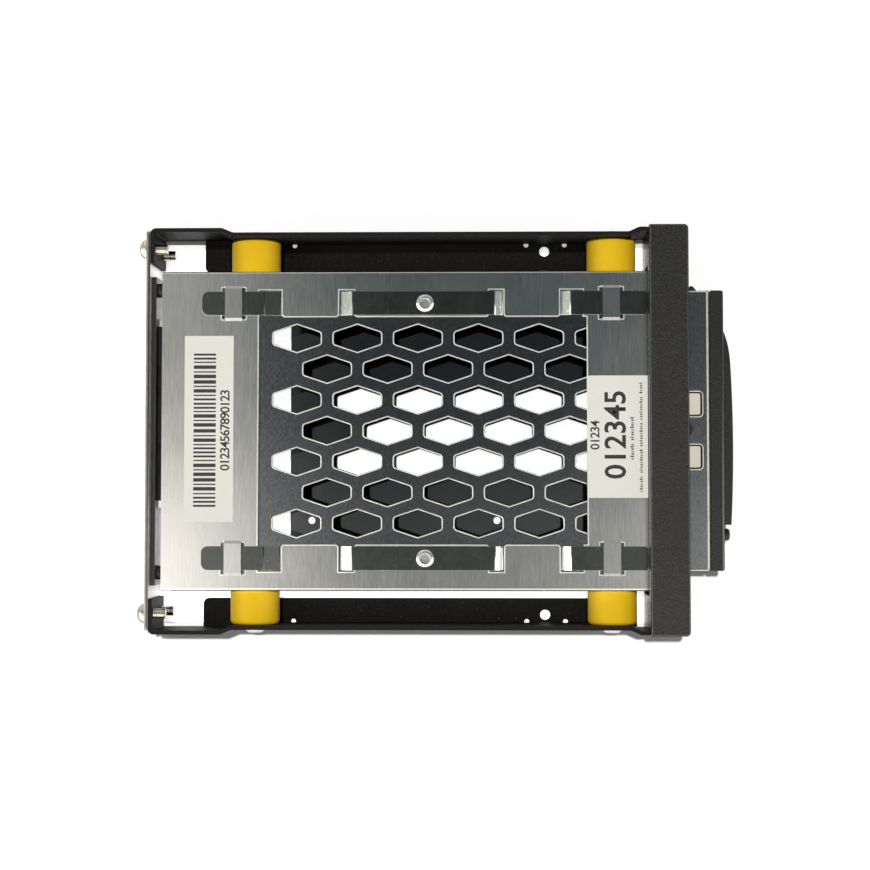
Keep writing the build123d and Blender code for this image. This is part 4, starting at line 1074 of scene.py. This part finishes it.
@dataclass
class Studio:
    """The floor, the lamps and the camera, in metres, degrees and the photograph's pixels."""

    image_px: float = 870.0
    focal_px: float = 2196.0
    sensor: float = 36.0
    axis_px: Pair = (437.0, 380.0)
    nadir_px: Pair = (495.0, 500.0)
    foot: Pair = (0.014897, -0.017385)
    height: float = 0.566547
    near_clip: float = 0.05
    far_clip: float = 20.0
    key_tilt: float = 6.6
    key_strength: float = 2.72
    key_spread: float = 1.5
    ceiling: Colour = (0.086, 0.113, 0.12, 1.0)
    box_colour: Colour = (1.0, 0.985, 0.92, 1.0)
    near_box: SoftBox = SoftBox("near", Axis.SIDEWAYS, 0.04, -0.02, 0.26)
    boxes: tuple[SoftBox, ...] = (
        SoftBox("left wall", Axis.LENGTHWISE, -0.058, -0.16, 0.5, 0.8),
        SoftBox("left glare", Axis.LENGTHWISE, -0.115, -0.15, 0.04, 0.8),
        SoftBox("left lamp", Axis.LENGTHWISE, -0.4, -0.75, 0.2, 4.2),
        SoftBox("right slope", Axis.LENGTHWISE, -0.03, 0.11, 0.02, 0.28),
        SoftBox("right glow", Axis.LENGTHWISE, 0.075, 0.095, 0.24, 0.62),
        SoftBox("right wall", Axis.LENGTHWISE, 0.3, 0.6, 0.1, 0.3),
        SoftBox("right lamp", Axis.LENGTHWISE, 0.55, 0.8, 0.12, 2.2),
        SoftBox("near lamp", Axis.SIDEWAYS, -0.15, -0.5, 1.3),
        SoftBox("far lamp", Axis.SIDEWAYS, 0.45, 0.85, 0.8),
    )
    room_level: float = 0.17
    paper_size: float = 4.0
    paper_drop: float = 0.00003
    paper_level: float = 0.96
    paper_roughness: float = 0.9
    paper_glow: float = 0.05
    under_glow: float = 0.9
    under_shade: float = 0.5
    under_reach: float = 0.0026
    under_samples: int = 8
    under_open: Pair = (0.2, 0.7)
    under_x: Pair = (-0.0735, 0.0545)
    under_y: float = 0.0488

    def build(self) -> None:
        """Set up the floor, the light and the camera."""
        bpy.context.scene.view_settings.view_transform = "Standard"
        self._floor()
        self._world()
        self._key_lamp()
        self._camera()
        LOG.info("the studio is set")

    def _floor(self) -> None:
        """Lay a white sheet that keeps the object's shadow."""
        sheet = bmesh.new()
        bmesh.ops.create_grid(sheet, x_segments=2, y_segments=2, size=self.paper_size)
        floor = placed("paper", sheet, self._paper())
        floor.location.z = -self.paper_drop

    def _paper(self) -> bpy.types.Material:
        """Make the white paper, which glows a little for all but the diffuse rays.

        Returns:
            The material.
        """
        graph = Graph("white_paper")
        white = grey(self.paper_level)
        graph.set(Base_Color=white, Roughness=self.paper_roughness, Specular_IOR_Level=0.0)
        rays = graph.node("ShaderNodeLightPath").outputs
        seen = graph.maths("MAXIMUM", rays["Is Camera Ray"], rays["Is Glossy Ray"])
        seen = graph.maths("MAXIMUM", seen, rays["Is Transmission Ray"])
        # Painted shade: under the cage the paper's glow is lowered near overhanging edges, where ambient
        # occlusion finds them.
        open_air = graph.node("ShaderNodeAmbientOcclusion", samples=self.under_samples)
        open_air.inputs["Distance"].default_value = self.under_reach
        lit = graph.remap(open_air.outputs["AO"], *self.under_open, self.under_shade, self.under_glow)
        glow = graph.mix(self._under(graph), self.paper_glow, lit)
        graph.set(Emission_Color=grey(1.0), Emission_Strength=graph.maths("MULTIPLY", seen, glow))
        return graph.material

    def _under(self, graph: Graph) -> bpy.types.NodeSocket:
        """Mark the part of the paper that lies under the cage.

        Args:
            graph: The paper's material.

        Returns:
            A factor that is 1 under the cage and 0 elsewhere.
        """
        split = graph.node("ShaderNodeSeparateXYZ")
        graph.link(graph.place, split.inputs[0])
        x, y = split.outputs["X"], split.outputs["Y"]
        under = graph.maths("GREATER_THAN", x, self.under_x[0])
        under = graph.maths("MULTIPLY", under, graph.maths("LESS_THAN", x, self.under_x[1]))
        under = graph.maths("MULTIPLY", under, graph.maths("GREATER_THAN", y, -self.under_y))
        return graph.maths("MULTIPLY", under, graph.maths("LESS_THAN", y, self.under_y))

    def _world(self) -> None:
        """Light the room evenly, with soft boxes that only gloss shows."""
        world = bpy.data.worlds.new("room")
        bpy.context.scene.world = world
        room = Wiring(world)
        world.cycles.sampling_method = "NONE"
        direction = room.node("ShaderNodeSeparateXYZ")
        room.link(room.node("ShaderNodeTexCoord").outputs["Generated"], direction.inputs[0])
        near = self.near_box.share(room, direction)
        total = room.maths("MULTIPLY", near, self.near_box.level)
        for box in self.boxes:
            level = room.maths("ADD", room.maths("MULTIPLY", near, box.near_boost), box.level)
            total = room.maths("ADD", total, room.maths("MULTIPLY", box.share(room, direction), level))
        lit = room.blend(total, self.ceiling, self.box_colour, clamp_factor=False, clamp_result=False)
        rays = room.node("ShaderNodeLightPath").outputs
        gloss = room.maths("MAXIMUM", rays["Is Glossy Ray"], rays["Is Transmission Ray"])
        seen = room.blend(gloss, grey(self.room_level), lit)
        back = room.node("ShaderNodeBackground")
        room.link(room.blend(rays["Is Camera Ray"], seen, grey(1.0)), back.inputs["Color"])
        room.link(back.outputs[0], room.node("ShaderNodeOutputWorld").inputs["Surface"])

    def _key_lamp(self) -> None:
        """Hang one hard lamp nearly overhead."""
        sun = bpy.data.lights.new("key", "SUN")
        sun.energy = self.key_strength
        sun.angle = math.radians(self.key_spread)
        key = bpy.data.objects.new("key", sun)
        key.rotation_euler = (math.radians(-self.key_tilt), 0.0, 0.0)
        key.visible_glossy = False
        bpy.context.scene.collection.objects.link(key)

    def _camera(self) -> None:
        """Hang the camera where the photograph was taken from."""
        lean = (below - middle for below, middle in zip(self.nadir_px, self.axis_px))
        down = Vector((*lean, self.focal_px)).normalized()
        along = (Vector((1.0, 0.0, 0.0)) - down * down.x).normalized()
        across = (-down).cross(along)
        axes = Matrix((along, across, -down))
        turn = Matrix((axes.col[0], -axes.col[1], -axes.col[2])).transposed()
        data = bpy.data.cameras.new("camera")
        data.sensor_width = self.sensor
        data.lens = self.focal_px / self.image_px * self.sensor
        centre = self.image_px / 2
        data.shift_x = (centre - self.axis_px[0]) / self.image_px
        data.shift_y = -(centre - self.axis_px[1]) / self.image_px
        data.clip_start = self.near_clip
        data.clip_end = self.far_clip
        camera = bpy.data.objects.new("camera", data)
        camera.matrix_world = Matrix.Translation((self.foot[0], self.foot[1], self.height)) @ turn.to_4x4()
        bpy.context.scene.collection.objects.link(camera)
        bpy.context.scene.camera = camera


def main() -> None:
    """Load the frame, dress it, add the prints and set the studio."""
    logging.basicConfig(level=logging.INFO, format="%(name)s: %(message)s")
    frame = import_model()
    palette = Palette()
    dresser = Dresser(frame["nodes"], palette)
    Frame().build(dresser)
    Cage().build(dresser)
    Tray().build(dresser)
    LabelPrint().build(palette)
    Studio().build()


if __name__ == "__main__":
    main()
